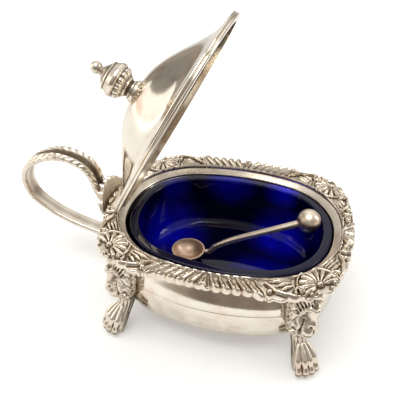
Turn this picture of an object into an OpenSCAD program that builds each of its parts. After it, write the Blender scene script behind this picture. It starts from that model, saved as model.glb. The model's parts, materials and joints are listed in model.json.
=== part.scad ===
// Oblong footed mustard pot with hinged lid, glass liner and spoon, in millimetres.
// The origin is on the table, midway between the four feet; +X points to the free end.

/* [Opening] */
// Length of the opening inside the rim band
opening_l = 74; // [66:1:84]
// Width of the opening inside the rim band
opening_w = 58; // [53:1:66]
// Radius of the opening's corners
opening_corner_r = 25; // [23:0.5:26]
// Half angle of the bowed long sides
side_bow = 14.7; // [12:0.1:17]
// Half angle of the bowed ends
end_bow = 12.3; // [10:0.1:14]

/* [Body] */
// Height of the rim's flat top above the table
rim_h = 35.5; // [31:0.5:42]
// Height of the body's underside above the table
body_base_h = 8.6; // [7:0.1:11]
// Height of the fullest part of the belly
belly_h = 20; // [18:0.5:23]
// How far the belly stands out past the opening
belly_out = 3.6; // [2.6:0.1:4.4]
// How far the neck stands out past the opening
neck_out = 2.0; // [1.9:0.1:2.4]
// How far the bottom curve runs in below the belly
base_in = 8; // [6:0.5:10]
// Thickness of the raised sheet
wall_t = 1.1; // [0.8:0.05:1.3]

/* [Rim] */
// Width of the plain band round the opening
band_w = 2.3; // [2:0.1:3]
// Fall of the plain band towards the opening
band_fall = 1.3; // [0.8:0.1:1.6]
// Width of the flat flange outside the band
flange_w = 3.7; // [3:0.1:4.5]
// Thickness of the flange
flange_t = 1.0; // [0.8:0.1:1.4]

/* [Border] */
// How far the border hangs over the flange at the ends
end_over = 0.9; // [0.5:0.1:2]
// How far the border hangs over the flange at the sides
side_over = 4.3; // [3.2:0.1:5]
// Corner radius of the border's outline
border_corner_r = 12; // [10:0.5:14]
// Half angle of the bow of the border's outline
border_bow = 16; // [13:0.5:18]
// Height of the border's relief
relief_h = 2.2; // [1.4:0.1:3]
// Turn-down of the border's outer edge
edge_drop = 0.7; // [0.4:0.1:0.9]
// Lobes on each gadrooned side
gadroon_count = 12; // [8:1:16]
// Ribs on each corner shell
corner_rib_count = 9; // [7:1:11]
// Ribs on each end shell
end_rib_count = 5; // [3:1:7]

/* [Feet] */
// Direction in which the feet face, from the long axis
foot_turn = 54; // [45:1:58]
// Half width of the mask
mask_half_w = 6.3; // [5:0.1:7]
// How far the mask stands out of the belly
mask_depth = 5.8; // [4.5:0.1:7]
// Half width of the leg
leg_half_w = 2.7; // [2.2:0.1:3.4]
// Half width of the paw
paw_half_w = 4.8; // [4:0.1:5.6]
// Length of the paw
paw_l = 9.4; // [8:0.1:11]
// Depth of the flat sole under the paw
sole_t = 0.8; // [0.6:0.1:1.2]

/* [Handle] */
// Reach of the handle past the end of the border
handle_reach = 35.9; // [30:0.2:40]
// Height of the loop's top above the rim
handle_rise = 15.4; // [12:0.2:19]
// Height of the loop's foot above the body's underside
handle_foot_h = 8; // [6.5:0.1:9.5]
// Width of the strap
strap_w = 8.4; // [6:0.1:9.4]
// Thickness of the strap
strap_t = 2.8; // [2.2:0.1:3.4]
// Half width of the leaf at the upper root
leaf_half_w = 11; // [8:0.2:12]
// Height of the leaf above the rim
leaf_rise = 7.5; // [5:0.1:9]
// Thickness of the leaf
leaf_t = 1.2; // [0.9:0.1:1.5]

/* [Hinge] */
// Radius of the knuckles
knuckle_r = 1.5; // [1.3:0.05:1.6]
// Radius of the hinge pin
pin_r = 0.6; // [0.4:0.05:0.8]
// Length of the three knuckles together
hinge_l = 14; // [11:0.5:17]
// Length of the lid's knuckle
mid_knuckle_l = 4.6; // [3.6:0.1:5.6]

/* [Lid] */
// Angle of the open lid
lid_angle = 62; // [0:1:90]
// How far the lid is set in from the band at the hinge
lid_set_in = 2; // [0:0.1:2.2]
// Height of the lid's reeded edge
lid_rim_h = 2.0; // [1.6:0.1:2.6]
// Height of the lid without its finial
lid_h = 15.6; // [12:0.2:18]
// Thickness of the lid's sheet
lid_t = 0.9; // [0.7:0.05:1.1]

/* [Finial] */
// Radius of the finial's base
finial_base_r = 4.0; // [3.6:0.1:4.8]
// Greatest radius of the urn
urn_r = 6.0; // [5.4:0.1:6.4]
// Height of the urn's cover above the lid
urn_h = 13.3; // [12.5:0.1:15]
// Radius of the ball on top
finial_ball_r = 2.1; // [1.8:0.1:2.6]
// Radius of the stud
stud_r = 1.2; // [1:0.05:1.4]
// Lobes round the urn
urn_lobes = 14; // [10:1:18]

/* [Liner] */
// Gap round the glass liner
liner_gap = 0.9; // [0.7:0.05:1.2]
// Thickness of the glass wall
glass_t = 3.3; // [2.6:0.1:3.8]
// Thickness of the glass bottom
glass_base_t = 3.0; // [2.4:0.1:4]
// Depth of the glass lip below the rim
lip_drop = 1.2; // [0.6:0.1:2]

/* [Spoon] */
// Gap between the ball and the far wall of the liner
ball_gap = 0.2; // [0.1:0.05:0.6]
// Distance of the bowl's centre from the long axis
bowl_y = -0.8; // [-2:0.1:2]
// Radius of the bowl's brim
bowl_r = 6.3; // [5:0.1:7]
// Depth of the bowl
bowl_depth = 4.4; // [3:0.1:5]
// Thickness of the bowl's sheet
bowl_t = 0.6; // [0.5:0.05:0.8]
// Direction of the stem from the long axis
spoon_turn = 10; // [6:0.5:11]
// Distance from the bowl's centre to the ball's centre
spoon_l = 43.6; // [40:0.2:44]
// Height of the ball's centre below the rim
ball_drop = 1.4; // [1.2:0.1:4]
// Radius of the ball
ball_r = 4.3; // [3.4:0.1:4.4]
// Radius of the stem at the bowl
stem_r0 = 0.9; // [0.7:0.05:1]
// Radius of the stem at the ball
stem_r1 = 1.35; // [1.1:0.05:1.5]

/* [Hidden] */
$fn = 48;
seat_gap = 0.1;
run_gap = 0.03;
move_gap = 0.3;
seam = 0.002;
silver = [0.80, 0.78, 0.74];
old_silver = [0.70, 0.67, 0.62];
cobalt = [0.05, 0.06, 0.40];
gilt = [0.66, 0.52, 0.42];

// Oblong outlines are made of eight tangent arcs: two sides, two ends and four corners.
// Each is held as [corner r, side r, end r, corner x, corner y, side y, end x, side angle, end angle].
function oblong(hx, hy, rc, sa, ea) =
    let(
        det = sin(sa) * sin(ea) - (1 - cos(ea)) * (1 - cos(sa)),
        a = ((hx - rc) * sin(ea) - (hy - rc) * (1 - cos(ea))) / det,
        b = ((hy - rc) * sin(sa) - (hx - rc) * (1 - cos(sa))) / det
    )
    [rc, a + rc, b + rc, a * sin(sa), hy - rc - a + a * cos(sa), hy - rc - a, hx - rc - b, sa, ea];
function arc_mm(r, angle) = r * angle * PI / 180;
function on_arc(cx, cy, r, angle) = [cx + r * cos(angle), cy + r * sin(angle)];
function turn_of(s, r) = s / r * 180 / PI;
function quarter_mm(o, u) =
    arc_mm(o[1] + u, o[7]) + arc_mm(o[0] + u, 90 - o[7] - o[8]) + arc_mm(o[2] + u, o[8]);
// Point at the share f of a quarter, from the middle of the side to the middle of the end.
function quarter_at(o, u, f) =
    let(
        s = f * quarter_mm(o, u),
        side = arc_mm(o[1] + u, o[7]),
        corner = arc_mm(o[0] + u, 90 - o[7] - o[8])
    )
    s < side ? on_arc(0, o[5], o[1] + u, 90 - turn_of(s, o[1] + u))
    : s < side + corner ? on_arc(o[3], o[4], o[0] + u, 90 - o[7] - turn_of(s - side, o[0] + u))
    : on_arc(o[6], 0, o[2] + u, o[8] - turn_of(s - side - corner, o[2] + u));
// Point on the whole outline: t runs from 0 to 4, clockwise from the middle of the back.
function ring_at(o, u, t) =
    let(
        w = t - 4 * floor(t / 4),
        q = floor(w),
        f = w - q,
        p = quarter_at(o, u, q % 2 == 0 ? f : 1 - f)
    )
    [q < 2 ? p.x : -p.x, q == 0 || q == 3 ? p.y : -p.y];
function mix(a, b, k) = a + (b - a) * k;
function smooth(k) = let(c = min(1, max(0, k))) c * c * (3 - 2 * c);
function bump(d, width) = exp(-d * d / (width * width));
// Point on a smooth curve through the listed points, at the share k of its length.
function curve_at(pts, k) =
    let(
        n = len(pts) - 1,
        i = min(n - 1, floor(k * n)),
        f = k * n - i,
        p0 = pts[max(0, i - 1)],
        p1 = pts[i],
        p2 = pts[i + 1],
        p3 = pts[min(n, i + 2)]
    )
    0.5 * (2 * p1 + (p2 - p0) * f + (2 * p0 - 5 * p1 + 4 * p2 - p3) * f * f
        + (3 * p1 - p0 - 3 * p2 + p3) * f * f * f);

opening = oblong(opening_l / 2, opening_w / 2, opening_corner_r, side_bow, end_bow);
flange_z = rim_h - flange_t;
band_out = band_w + flange_w;
border_half_l = opening_l / 2 + band_out + end_over;
border_half_w = opening_w / 2 + band_out + side_over;
border_edge = oblong(border_half_l, border_half_w, border_corner_r, border_bow, border_bow);
wall_top_out = band_w + wall_t / 2;
neck_flare_h = 3.5;
neck_h = flange_z - neck_flare_h;
floor_z = body_base_h + wall_t;

// How far the body's outside and inside stand out past the opening, at a height.
function quarter_round(rise, run, z, top_z) =
    run * (1 - sqrt(max(0, 1 - pow((top_z - z) / rise, 2))));
function body_out(z) =
    z < belly_h ? belly_out - quarter_round(belly_h - body_base_h, base_in, z, belly_h)
    : z < neck_h ? mix(neck_out, belly_out, 0.5 + 0.5 * cos(180 * (z - belly_h) / (neck_h - belly_h)))
    : mix(neck_out, wall_top_out, pow((z - neck_h) / (flange_z - neck_h), 2));
function body_in(z) =
    z < belly_h
    ? belly_out - wall_t - quarter_round(belly_h - floor_z, base_in - wall_t / 2, z, belly_h)
    : body_out(z) - wall_t;

// The lid is drawn closed and then turned on its hinge.
lid_gap = 0.6;
lid_out = band_w - lid_gap;
lid_seat_z = rim_h + seat_gap;
lid_shift = lid_set_in / 2;
lid_edge = oblong(opening_l / 2 - lid_shift, opening_w / 2, opening_corner_r, side_bow, end_bow);
lid_end_x = opening_l / 2 + lid_out - lid_set_in;
hinge_x = -(lid_end_x + knuckle_r + move_gap);
hinge_z = rim_h + knuckle_r + 2 * seat_gap;
knuckle_gap = 0.1;
leaf_plate_t = 0.5;
reed_step = 0.8;
dome_foot_out = lid_out - reed_step;
dome_top_r = finial_base_r + 2 * seat_gap;
stud_hole_r = stud_r + seat_gap;

// A closed profile drawn in by d all round.
function unit(v) = v / norm(v);
function loop_area(p) = [for (q = p) 1] * [for (i = [0 : len(p) - 1])
    let(q = p[(i + 1) % len(p)]) p[i].x * q.y - p[i].y * q.x];
function drawn_in(p, d) =
    let(n = len(p), side = sign(loop_area(p)))
    [for (i = [0 : n - 1])
        let(
            u = unit(p[i] - p[(i + n - 1) % n]),
            w = unit(p[(i + 1) % n] - p[i]),
            across = side * [-u.y - w.y, u.x + w.x]
        )
        p[i] + d * across / (1 + u * w)];

// A profile of [stand-out, height] points carried round an oblong outline.
// Sides and ends are drawn in by a hair and run a little way into the corners, so that all is one piece.
module swept(o, profile) {
    hair = 0.01;
    run_in = 0.4;
    slim = drawn_in(profile, hair);
    side_a = o[7] + turn_of(run_in, o[1]);
    end_a = o[8] + turn_of(run_in, o[2]);
    for (m = [0, 1]) mirror([0, m, 0]) {
        translate([0, o[5], 0]) rotate(90 - side_a) sector(o[1], 2 * side_a, slim);
        for (k = [0, 1]) mirror([k, 0, 0])
            translate([o[3], o[4], 0]) rotate(o[8]) sector(o[0], 90 - o[7] - o[8], profile);
    }
    for (k = [0, 1]) mirror([k, 0, 0])
        translate([o[6], 0, 0]) rotate(-end_a) sector(o[2], 2 * end_a, slim);
}

module sector(r, angle, profile) {
    rotate_extrude(angle = angle, $fn = 96)
        polygon([for (p = profile) [r + p.x, p.y]]);
}

// The area inside an oblong outline.
module oblong_area(o, u) {
    steps = 64;
    polygon([for (i = [0 : steps - 1]) ring_at(o, u, 4 * i / steps)]);
}

// A flat plate that closes the bottom inside a swept wall.
module bottom_plate(o, u, z0, z1) {
    translate([0, 0, z0]) linear_extrude(z1 - z0) oblong_area(o, u);
}

// Closed skin over a list of rings with equal counts of points.
module skin(rings) {
    n = len(rings[0]);
    m = len(rings);
    polyhedron(
        points = [for (ring = rings) each ring],
        faces = concat(
            [[for (i = [0 : n - 1]) i]],
            [for (j = [0 : m - 2]) for (i = [0 : n - 1]) let(k = (i + 1) % n)
                let(a = j * n, b = a + n)
                each [[a + i, b + i, b + k], [a + i, b + k, a + k]]],
            [[for (i = [0 : n - 1]) (m - 1) * n + n - 1 - i]]
        ),
        convexity = 6
    );
}

module body_shell() {
    steps = 12;
    low = [for (i = [0 : steps - 1]) belly_h - (belly_h - body_base_h) * cos(90 * i / steps)];
    high = [for (i = [0 : steps]) mix(belly_h, flange_z, i / steps)];
    low_in = [for (i = [0 : steps - 1]) belly_h - (belly_h - floor_z) * cos(90 * i / steps)];
    plate_in = belly_out - base_in - 2 * wall_t;
    color(silver) union() {
        swept(opening, concat(
            [[plate_in - wall_t, body_base_h]],
            [for (z = low) [body_out(z), z]],
            [for (z = high) [body_out(z), z]],
            [for (i = [steps : -1 : 0]) [body_in(high[i]), high[i]]],
            [for (i = [steps - 1 : -1 : 0]) [body_in(low_in[i]), low_in[i]]],
            [[plate_in - wall_t, floor_z]]
        ));
        bottom_plate(opening, plate_in, body_base_h, floor_z);
    }
}

module rim_collar() {
    color(silver) swept(opening, [
        [0, rim_h - band_fall], [band_w, rim_h], [band_out, rim_h], [band_out, flange_z],
        [band_w - wall_t / 2, flange_z], [0, flange_z - band_fall]
    ]);
}

// The border's relief is a height and a reach for each place along and across the border:
// g runs along one section from end to end, v runs across it from the band to the outer edge.
function rib(g, count) = abs(cos(180 * g * count));
function crown(v) = pow(sin(180 * min(1, v)), 0.7);
function gadroon_relief(g, v) =
    let(side = g < 0.5 ? g : 1 - g)
    0.35 + 0.65 * crown(v * 0.94 + 0.03) * (0.45 + 0.55 * rib(side + 0.03 * v, gadroon_count));
function gadroon_reach(g) = 0.95 + 0.05 * rib((g < 0.5 ? g : 1 - g) + 0.03, gadroon_count);
function shell_relief(g, v, count) =
    let(scroll = bump(g - 0.07, 0.05) + bump(g - 0.93, 0.05))
    0.32 + 0.68 * smooth(v * 2.2) * (1 - 0.55 * pow(v, 5)) * (0.5 + 0.5 * rib(g, count))
        + 0.3 * scroll * crown(v);
function shell_reach(g, count) = 0.92 + 0.08 * rib(g, count);

// One struck section of the border, from t0 to t1 on the outline.
module border_section(t0, t1, steps, relief, reach) {
    across = [0, 0.14, 0.34, 0.56, 0.78, 0.94];
    seat_reach = 1.25 * flange_w;
    skin([for (i = [steps : -1 : 0])
        let(
            g = i / steps,
            t = mix(t0 + seam, t1 - seam, g),
            inner = ring_at(opening, band_w, t),
            outer = mix(inner, ring_at(border_edge, 0, t), reach(g)),
            seat = mix(inner, outer, min(0.9, seat_reach / norm(outer - inner))),
            top = [for (v = across)
                let(p = mix(inner, outer, v))
                [p.x, p.y, rim_h + relief_h * relief(g, v)]],
            rim = [for (z = [0.12 * relief_h, -edge_drop]) [outer.x, outer.y, rim_h + z]]
        )
        concat(top, rim, [[seat.x, seat.y, rim_h], [inner.x, inner.y, rim_h]])
    ]);
}

side_share = 0.28;
end_share = 0.82;
module border_gadroon(middle) {
    color(old_silver)
        border_section(middle - side_share, middle + side_share, 5 * gadroon_count,
            function(g, v) gadroon_relief(g, v), function(g) gadroon_reach(g));
}

module border_shell(quarter) {
    t0 = quarter % 2 == 0 ? quarter + side_share : quarter + 1 - end_share;
    color(old_silver)
        border_section(t0, t0 + end_share - side_share, 5 * corner_rib_count,
            function(g, v) shell_relief(g, v, corner_rib_count),
            function(g) shell_reach(g, corner_rib_count));
}

module border_end(middle) {
    half = 1 - end_share;
    color(old_silver)
        border_section(middle - half, middle + half, 6 * end_rib_count,
            function(g, v) shell_relief(g, v, end_rib_count),
            function(g) shell_reach(g, end_rib_count));
}

module border_gadroon_front() border_gadroon(2);
module border_gadroon_back() border_gadroon(4);
module border_shell_back_right() border_shell(0);
module border_shell_front_right() border_shell(1);
module border_shell_front_left() border_shell(2);
module border_shell_back_left() border_shell(3);
module border_end_free() border_end(1);
// The handle end is cut away where the hinge lies.
module border_end_handle() {
    notch_w = hinge_l + 2 * move_gap;
    notch_l = band_out - lid_out + 2 * move_gap;
    color(old_silver) difference() {
        border_end(3);
        translate([-(opening_l / 2 + band_out + move_gap), -notch_w / 2, rim_h - seat_gap])
            cube([notch_l, notch_w, 2 * relief_h]);
    }
}

// Widths and depths of the foot, from the sole up to the crown of the mask, by share of its height.
foot_h = flange_z;
foot_half_w = [
    [0, 0.92 * paw_half_w], [0.05, paw_half_w], [0.1, 0.95 * paw_half_w], [0.17, 0.8 * paw_half_w],
    [0.24, 1.08 * leg_half_w], [0.32, leg_half_w], [0.42, 1.08 * leg_half_w], [0.5, 0.62 * mask_half_w],
    [0.58, 0.85 * mask_half_w], [0.68, 0.97 * mask_half_w], [0.8, mask_half_w], [0.9, 0.94 * mask_half_w],
    [1, 0.74 * mask_half_w]
];
foot_depth = [
    [0, 0.97 * paw_l], [0.05, paw_l], [0.1, 0.9 * paw_l], [0.17, 0.68 * paw_l], [0.24, 0.52 * paw_l],
    [0.32, 0.46 * paw_l], [0.42, 0.46 * paw_l], [0.5, 0.8 * mask_depth], [0.58, mask_depth],
    [0.68, mask_depth], [0.8, 0.92 * mask_depth], [0.9, 0.84 * mask_depth], [1, 0.5 * mask_depth]
];
leg_back = 0.4;
// Carving of the mask and paw: h is the share of the height and y the distance from the middle.
function toe_cut(h, y) = -0.8 * smooth((0.2 - h) / 0.1) * pow(abs(sin(360 * y / paw_half_w)), 6);
function mask_carving(h, y) =
    let(e = abs(y) / mask_half_w)
    1.1 * bump(e, 0.34) * bump(h - 0.645, 0.07)
    + 0.5 * bump(e, 0.16) * bump(h - 0.72, 0.06)
    - 0.9 * bump(e - 0.42, 0.17) * bump(h - 0.785, 0.028)
    + 0.6 * bump(e - 0.36, 0.24) * bump(h - 0.845, 0.03)
    - 0.7 * bump(e, 0.4) * bump(h - 0.572, 0.014)
    + 0.35 * smooth((e - 0.55) / 0.3) * sin(360 * 9 * h) * smooth((h - 0.5) / 0.1);

module lion_foot(sx, sy) {
    levels = 25;
    front_n = 13;
    back_n = 5;
    wall_r = opening_corner_r;
    back_r = wall_r + belly_out + leg_back;
    sole_z = sole_t / 2;
    rings = [for (j = [0 : levels])
        let(
            h = j / levels,
            z = mix(sole_z, foot_h, h),
            half = lookup(h, foot_half_w),
            depth = lookup(h, foot_depth),
            body_r = wall_r + body_out(max(z, belly_h)) + seat_gap,
            wrap = smooth((h - 0.5) / 0.1),
            back = [for (i = [0 : back_n - 1])
                let(y = half * (1 - 2 * i / (back_n - 1)))
                [mix(back_r, sqrt(body_r * body_r - y * y), wrap), y, z]],
            front = [for (i = [0 : front_n - 1])
                let(
                    c = -cos(180 * (i + 0.7) / (front_n + 0.4)),
                    y = half * c,
                    base = mix(back_r, sqrt(body_r * body_r - y * y), wrap),
                    swell = depth * pow(1 - pow(abs(c), 2.4), 0.42)
                )
                [base + max(0.25, swell + mask_carving(h, y) + toe_cut(h, y)), y, z]]
        )
        concat(front, back)
    ];
    color(old_silver) mirror([sx > 0 ? 0 : 1, 0, 0]) mirror([0, sy > 0 ? 0 : 1, 0])
        translate([opening[3], opening[4], 0]) rotate(foot_turn) {
            skin(rings);
            translate([back_r + paw_l / 2, 0, 0]) cylinder(r = 0.8 * paw_half_w, h = sole_t);
        }
}

module lion_foot_front_left() lion_foot(-1, -1);
module lion_foot_front_right() lion_foot(1, -1);
module lion_foot_back_left() lion_foot(-1, 1);
module lion_foot_back_right() lion_foot(1, 1);

// The handle springs from the neck under the rim, loops up and out, and returns to the belly.
end_x = -border_half_l;
root_drop = 0.5;
root_z = flange_z - root_drop - strap_t;
foot_z = body_base_h + handle_foot_h;
loop_top = rim_h + handle_rise;
loop_x = end_x - handle_reach;
function against_body(z) =
    -(opening_l / 2 + max(body_out(z - strap_t / 2), body_out(z + strap_t / 2)) + seat_gap);
function loop_at(out, up) = [mix(end_x, loop_x, out), mix(root_z, loop_top, up)];
function run_at(out, up) = [mix(end_x, loop_x, out), mix(foot_z, rim_h, up)];
handle_line = [
    [against_body(root_z), root_z], loop_at(-0.034, 0.02), loop_at(0.1, 0.17), loop_at(0.163, 0.4),
    loop_at(0.23, 0.75), loop_at(0.365, 0.94), loop_at(0.58, 1), loop_at(0.81, 0.85), loop_at(0.96, 0.61),
    loop_at(1, 0.3), run_at(0.93, 0.74), run_at(0.74, 0.46), run_at(0.5, 0.26), run_at(0.24, 0.12),
    run_at(0.04, 0.03), [against_body(foot_z), foot_z]
];
// The strap's section, as shares of its half width and its thickness: a channel runs along the outside.
strap_section = [
    [-1, 0], [-0.86, 0.46], [-0.4, 0.5], [0, 0.22], [0.4, 0.5],
    [0.86, 0.46], [1, 0], [0.62, -0.42], [0, -0.5], [-0.62, -0.42]
];
module handle() {
    steps = 45;
    step = 0.004;
    widest = 0.38;
    color(silver) skin([for (j = [0 : steps])
        let(
            k = j / steps,
            p = curve_at(handle_line, k),
            d = curve_at(handle_line, min(1, k + step)) - curve_at(handle_line, max(0, k - step)),
            along = j == 0 ? [-1, 0] : j == steps ? [1, 0] : unit(d),
            out = [along.y, -along.x],
            half = strap_w / 2 * (0.72 + 0.28 * smooth(1 - abs(k - widest) / widest))
        )
        [for (q = strap_section) [p.x + out.x * q.y * strap_t, half * q.x, p.y + out.y * q.y * strap_t]]
    ]);
}

// Acanthus leaf that stands against the end of the border and backs the handle's root.
module handle_leaf() {
    across = 24;
    up = 4;
    foot_level = rim_h - edge_drop;
    lean = 0.3;
    function leaf_top(e) = leaf_rise * pow(max(0.02, 1 - e * e), 0.8) * (0.86 + 0.14 * rib(e, 3.5)) + 0.6;
    function edge_x(y) = ring_at(border_edge, 0, 3 + y / quarter_mm(border_edge, 0)).x - seat_gap;
    function leaf_point(i, s, back) =
        let(
            e = 2 * i / across - 1,
            y = leaf_half_w * e,
            rise = s * leaf_top(e),
            ridge = 0.25 * cos(360 * 3.5 * e)
        )
        [edge_x(y) - lean * rise - back * (leaf_t + ridge), y, foot_level + rise];
    color(old_silver) skin([for (i = [across : -1 : 0])
        concat(
            [for (j = [0 : up]) leaf_point(i, j / up, 0)],
            [for (j = [up : -1 : 0]) leaf_point(i, j / up, 1)]
        )
    ]);
}

module along_hinge(y0, y1) {
    translate([hinge_x, y0, hinge_z]) rotate([-90, 0, 0]) linear_extrude(y1 - y0) children();
}

module hinge_body_leaf() {
    outer_l = (hinge_l - mid_knuckle_l) / 2 - knuckle_gap;
    plate_x = -(opening_l / 2 + band_out);
    color(silver) difference() {
        union() {
            for (y0 = [-hinge_l / 2, hinge_l / 2 - outer_l]) along_hinge(y0, y0 + outer_l) circle(knuckle_r);
            translate([plate_x, -hinge_l / 2, rim_h]) cube([hinge_x - plate_x, hinge_l, leaf_plate_t]);
        }
        along_hinge(-hinge_l, hinge_l) circle(pin_r + run_gap);
        along_hinge(-mid_knuckle_l / 2 - knuckle_gap, mid_knuckle_l / 2 + knuckle_gap)
            circle(knuckle_r + move_gap);
    }
}

module hinge_pin() {
    color(silver) along_hinge(-hinge_l / 2, hinge_l / 2) circle(pin_r);
}

// Turns a lid piece drawn closed to the open angle.
module opened() {
    translate([hinge_x, 0, hinge_z]) rotate([0, -lid_angle, 0]) translate([-hinge_x, 0, -hinge_z]) children();
}

module hinge_lid_leaf() {
    tab_t = 0.8 * knuckle_r;
    color(silver) opened() difference() {
        union() {
            along_hinge(-mid_knuckle_l / 2, mid_knuckle_l / 2) circle(knuckle_r);
            translate([hinge_x, -mid_knuckle_l / 2, hinge_z - tab_t / 2])
                cube([knuckle_r + 2 * move_gap, mid_knuckle_l, tab_t]);
        }
        along_hinge(-hinge_l, hinge_l) circle(pin_r + run_gap);
        translate([lid_shift - lid_edge[6], 0, 0])
            cylinder(r = lid_edge[2] + lid_out + run_gap, h = 2 * rim_h, $fn = 96);
    }
}

module lid_rim() {
    reeds = 2;
    reed_h = lid_rim_h / reeds;
    inside = dome_foot_out - 2 * lid_t;
    color(silver) opened() translate([lid_shift, 0, lid_seat_z]) swept(lid_edge, concat(
        [[inside, 0]],
        [for (i = [0 : reeds - 1]) for (a = [-90 : 30 : 60])
            [lid_out - reed_h / 2 * (1 - cos(a)), reed_h * (i + 0.5 + sin(a) / 2)]],
        [[lid_out - reed_h / 2, lid_rim_h], [inside, lid_rim_h]]
    ));
}

// The dome passes from the oblong edge to a round flat under the finial, coved at the foot.
dome_ease = 0.95;
function dome_rise(q) = (1 - cos(180 * pow(q, dome_ease))) / 2;
function dome_point(t, q, u, top_r, z) =
    let(
        edge = ring_at(lid_edge, u, t),
        angle = atan2(edge.y, edge.x),
        top = top_r * [cos(angle), sin(angle)],
        p = mix(edge, top, q)
    )
    [p.x, p.y, z];
module lid_dome() {
    around = 48;
    up = 9;
    foot_z = lid_seat_z + lid_rim_h;
    rise = lid_h - lid_rim_h;
    function ring(q, u, top_r, z) = [for (i = [0 : around - 1]) dome_point(-4 * i / around, q, u, top_r, z)];
    outer = [for (j = [0 : up]) ring(j / up, dome_foot_out, dome_top_r, foot_z + rise * dome_rise(j / up))];
    inner = [for (j = [0 : up])
        ring(j / up, dome_foot_out - lid_t, dome_top_r - lid_t / 2,
            foot_z + (rise - lid_t) * dome_rise(j / up))];
    below = ring(0, dome_foot_out - lid_t, dome_top_r, foot_z - lid_t);
    color(silver) opened() translate([lid_shift, 0, 0]) difference() {
        skin(outer);
        skin(concat([below], inner));
        translate([0, 0, foot_z]) cylinder(r = stud_hole_r, h = 2 * lid_h);
    }
}

finial_z = lid_seat_z + lid_h;
nut_h = 1.6;
module finial() {
    base_t = 1.1;
    waist_z = 2.7;
    urn_z = 7.2;
    neck_r = 1.2;
    ball_z = urn_h + 0.8 * finial_ball_r;
    lobe_r = 1.15;
    ring_z = mix(urn_z, urn_h, 0.5);
    outline = [
        [0, 0], [finial_base_r, 0], [finial_base_r, base_t], [0.84 * finial_base_r, base_t],
        [0.84 * finial_base_r, 1.8 * base_t], [0.7 * finial_base_r, waist_z], [0.6 * urn_r, waist_z + 0.5],
        [0.62 * urn_r, waist_z + 1.1], [0.8 * urn_r, urn_z - 2.4], [0.86 * urn_r, urn_z - 0.8],
        [urn_r, urn_z - 0.3], [urn_r, urn_z + 1], [0.91 * urn_r, urn_z + 1.8], [0.8 * urn_r, ring_z - 0.3],
        [0.84 * urn_r, ring_z - 0.2], [0.77 * urn_r, ring_z + 0.5], [0.7 * urn_r, ring_z + 0.5],
        [0.44 * urn_r, mix(urn_z, urn_h, 0.8)], [neck_r, urn_h], [neck_r, ball_z], [0, ball_z]
    ];
    color(silver) opened() translate([lid_shift, 0, finial_z]) {
        rotate_extrude() polygon(outline);
        translate([0, 0, ball_z]) sphere(finial_ball_r);
        translate([0, 0, -lid_t - nut_h]) cylinder(r = stud_r, h = lid_t + nut_h + base_t);
        for (i = [0 : urn_lobes - 1]) rotate(360 * i / urn_lobes)
            translate([0.78 * urn_r, 0, urn_z - 1.8]) sphere(lobe_r);
    }
}

module finial_nut() {
    nut_r = 0.75 * finial_base_r;
    color(silver) opened() translate([lid_shift, 0, finial_z - lid_t - nut_h - seat_gap]) difference() {
        cylinder(r = nut_r, h = nut_h);
        translate([0, 0, -nut_h]) cylinder(r = stud_r + run_gap, h = 3 * nut_h);
    }
}

liner_foot_h = 8.3;
liner_top = rim_h - lip_drop;
liner_curve_z = floor_z + liner_foot_h;
glass_floor_z = floor_z + glass_base_t;
liner_shift = 0.5 * liner_gap;
liner_run = 7;
module glass_liner() {
    steps = 8;
    ease = 0.4;
    out = -liner_gap;
    into = -liner_gap - glass_t;
    plate_in = out - liner_run - glass_base_t / 2;
    low = [for (i = [0 : steps]) liner_curve_z - liner_foot_h * cos(90 * i / steps)];
    floor_rise = liner_curve_z - glass_floor_z;
    floor_run = liner_run - 0.6 * glass_t;
    low_in = [for (i = [0 : steps]) liner_curve_z - floor_rise * cos(90 * i / steps)];
    color(cobalt, 0.6) translate([liner_shift, 0, 0]) union() {
        swept(opening, concat(
            [[plate_in - 1, floor_z]],
            [for (z = low) [out - quarter_round(liner_foot_h, liner_run, z, liner_curve_z), z]],
            [[out, liner_top - ease], [out - ease, liner_top]],
            [[into + ease, liner_top], [into, liner_top - ease]],
            [for (i = [steps : -1 : 0])
                [into - quarter_round(floor_rise, floor_run, low_in[i], liner_curve_z), low_in[i]]],
            [[plate_in - 1, glass_floor_z]]
        ));
        bottom_plate(opening, plate_in, floor_z, glass_floor_z);
    }
}

// The spoon lies in the liner: its bowl on the glass floor, its ball against the far wall.
bowl_z = glass_floor_z + move_gap;
brim_z = bowl_z + bowl_depth;
bowl_sphere_r = (bowl_r * bowl_r + bowl_depth * bowl_depth) / (2 * bowl_depth);
ball_z = rim_h - ball_drop;
socket_l = 0.45 * ball_r;
// The ball's centre stands off the arc of the liner's far end.
ball_y = bowl_y + spoon_l * sin(spoon_turn);
ball_arc_r = opening[2] - liner_gap - glass_t - ball_r - ball_gap;
ball_x = liner_shift + opening[6] + sqrt(ball_arc_r * ball_arc_r - ball_y * ball_y);
bowl_x = ball_x - spoon_l * cos(spoon_turn);
module spoon_place() {
    translate([bowl_x, bowl_y, 0]) rotate(spoon_turn) children();
}

module spoon_bowl() {
    steps = 10;
    centre_z = bowl_z + bowl_sphere_r;
    span = acos(1 - bowl_depth / bowl_sphere_r);
    inside_r = bowl_sphere_r - bowl_t;
    inside_span = acos((centre_z - brim_z) / inside_r);
    color(gilt) spoon_place() rotate_extrude() polygon(concat(
        [for (i = [0 : steps]) let(a = span * i / steps)
            [bowl_sphere_r * sin(a), centre_z - bowl_sphere_r * cos(a)]],
        [for (i = [steps : -1 : 0]) let(a = inside_span * i / steps)
            [inside_r * sin(a), centre_z - inside_r * cos(a)]]
    ));
}

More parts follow.
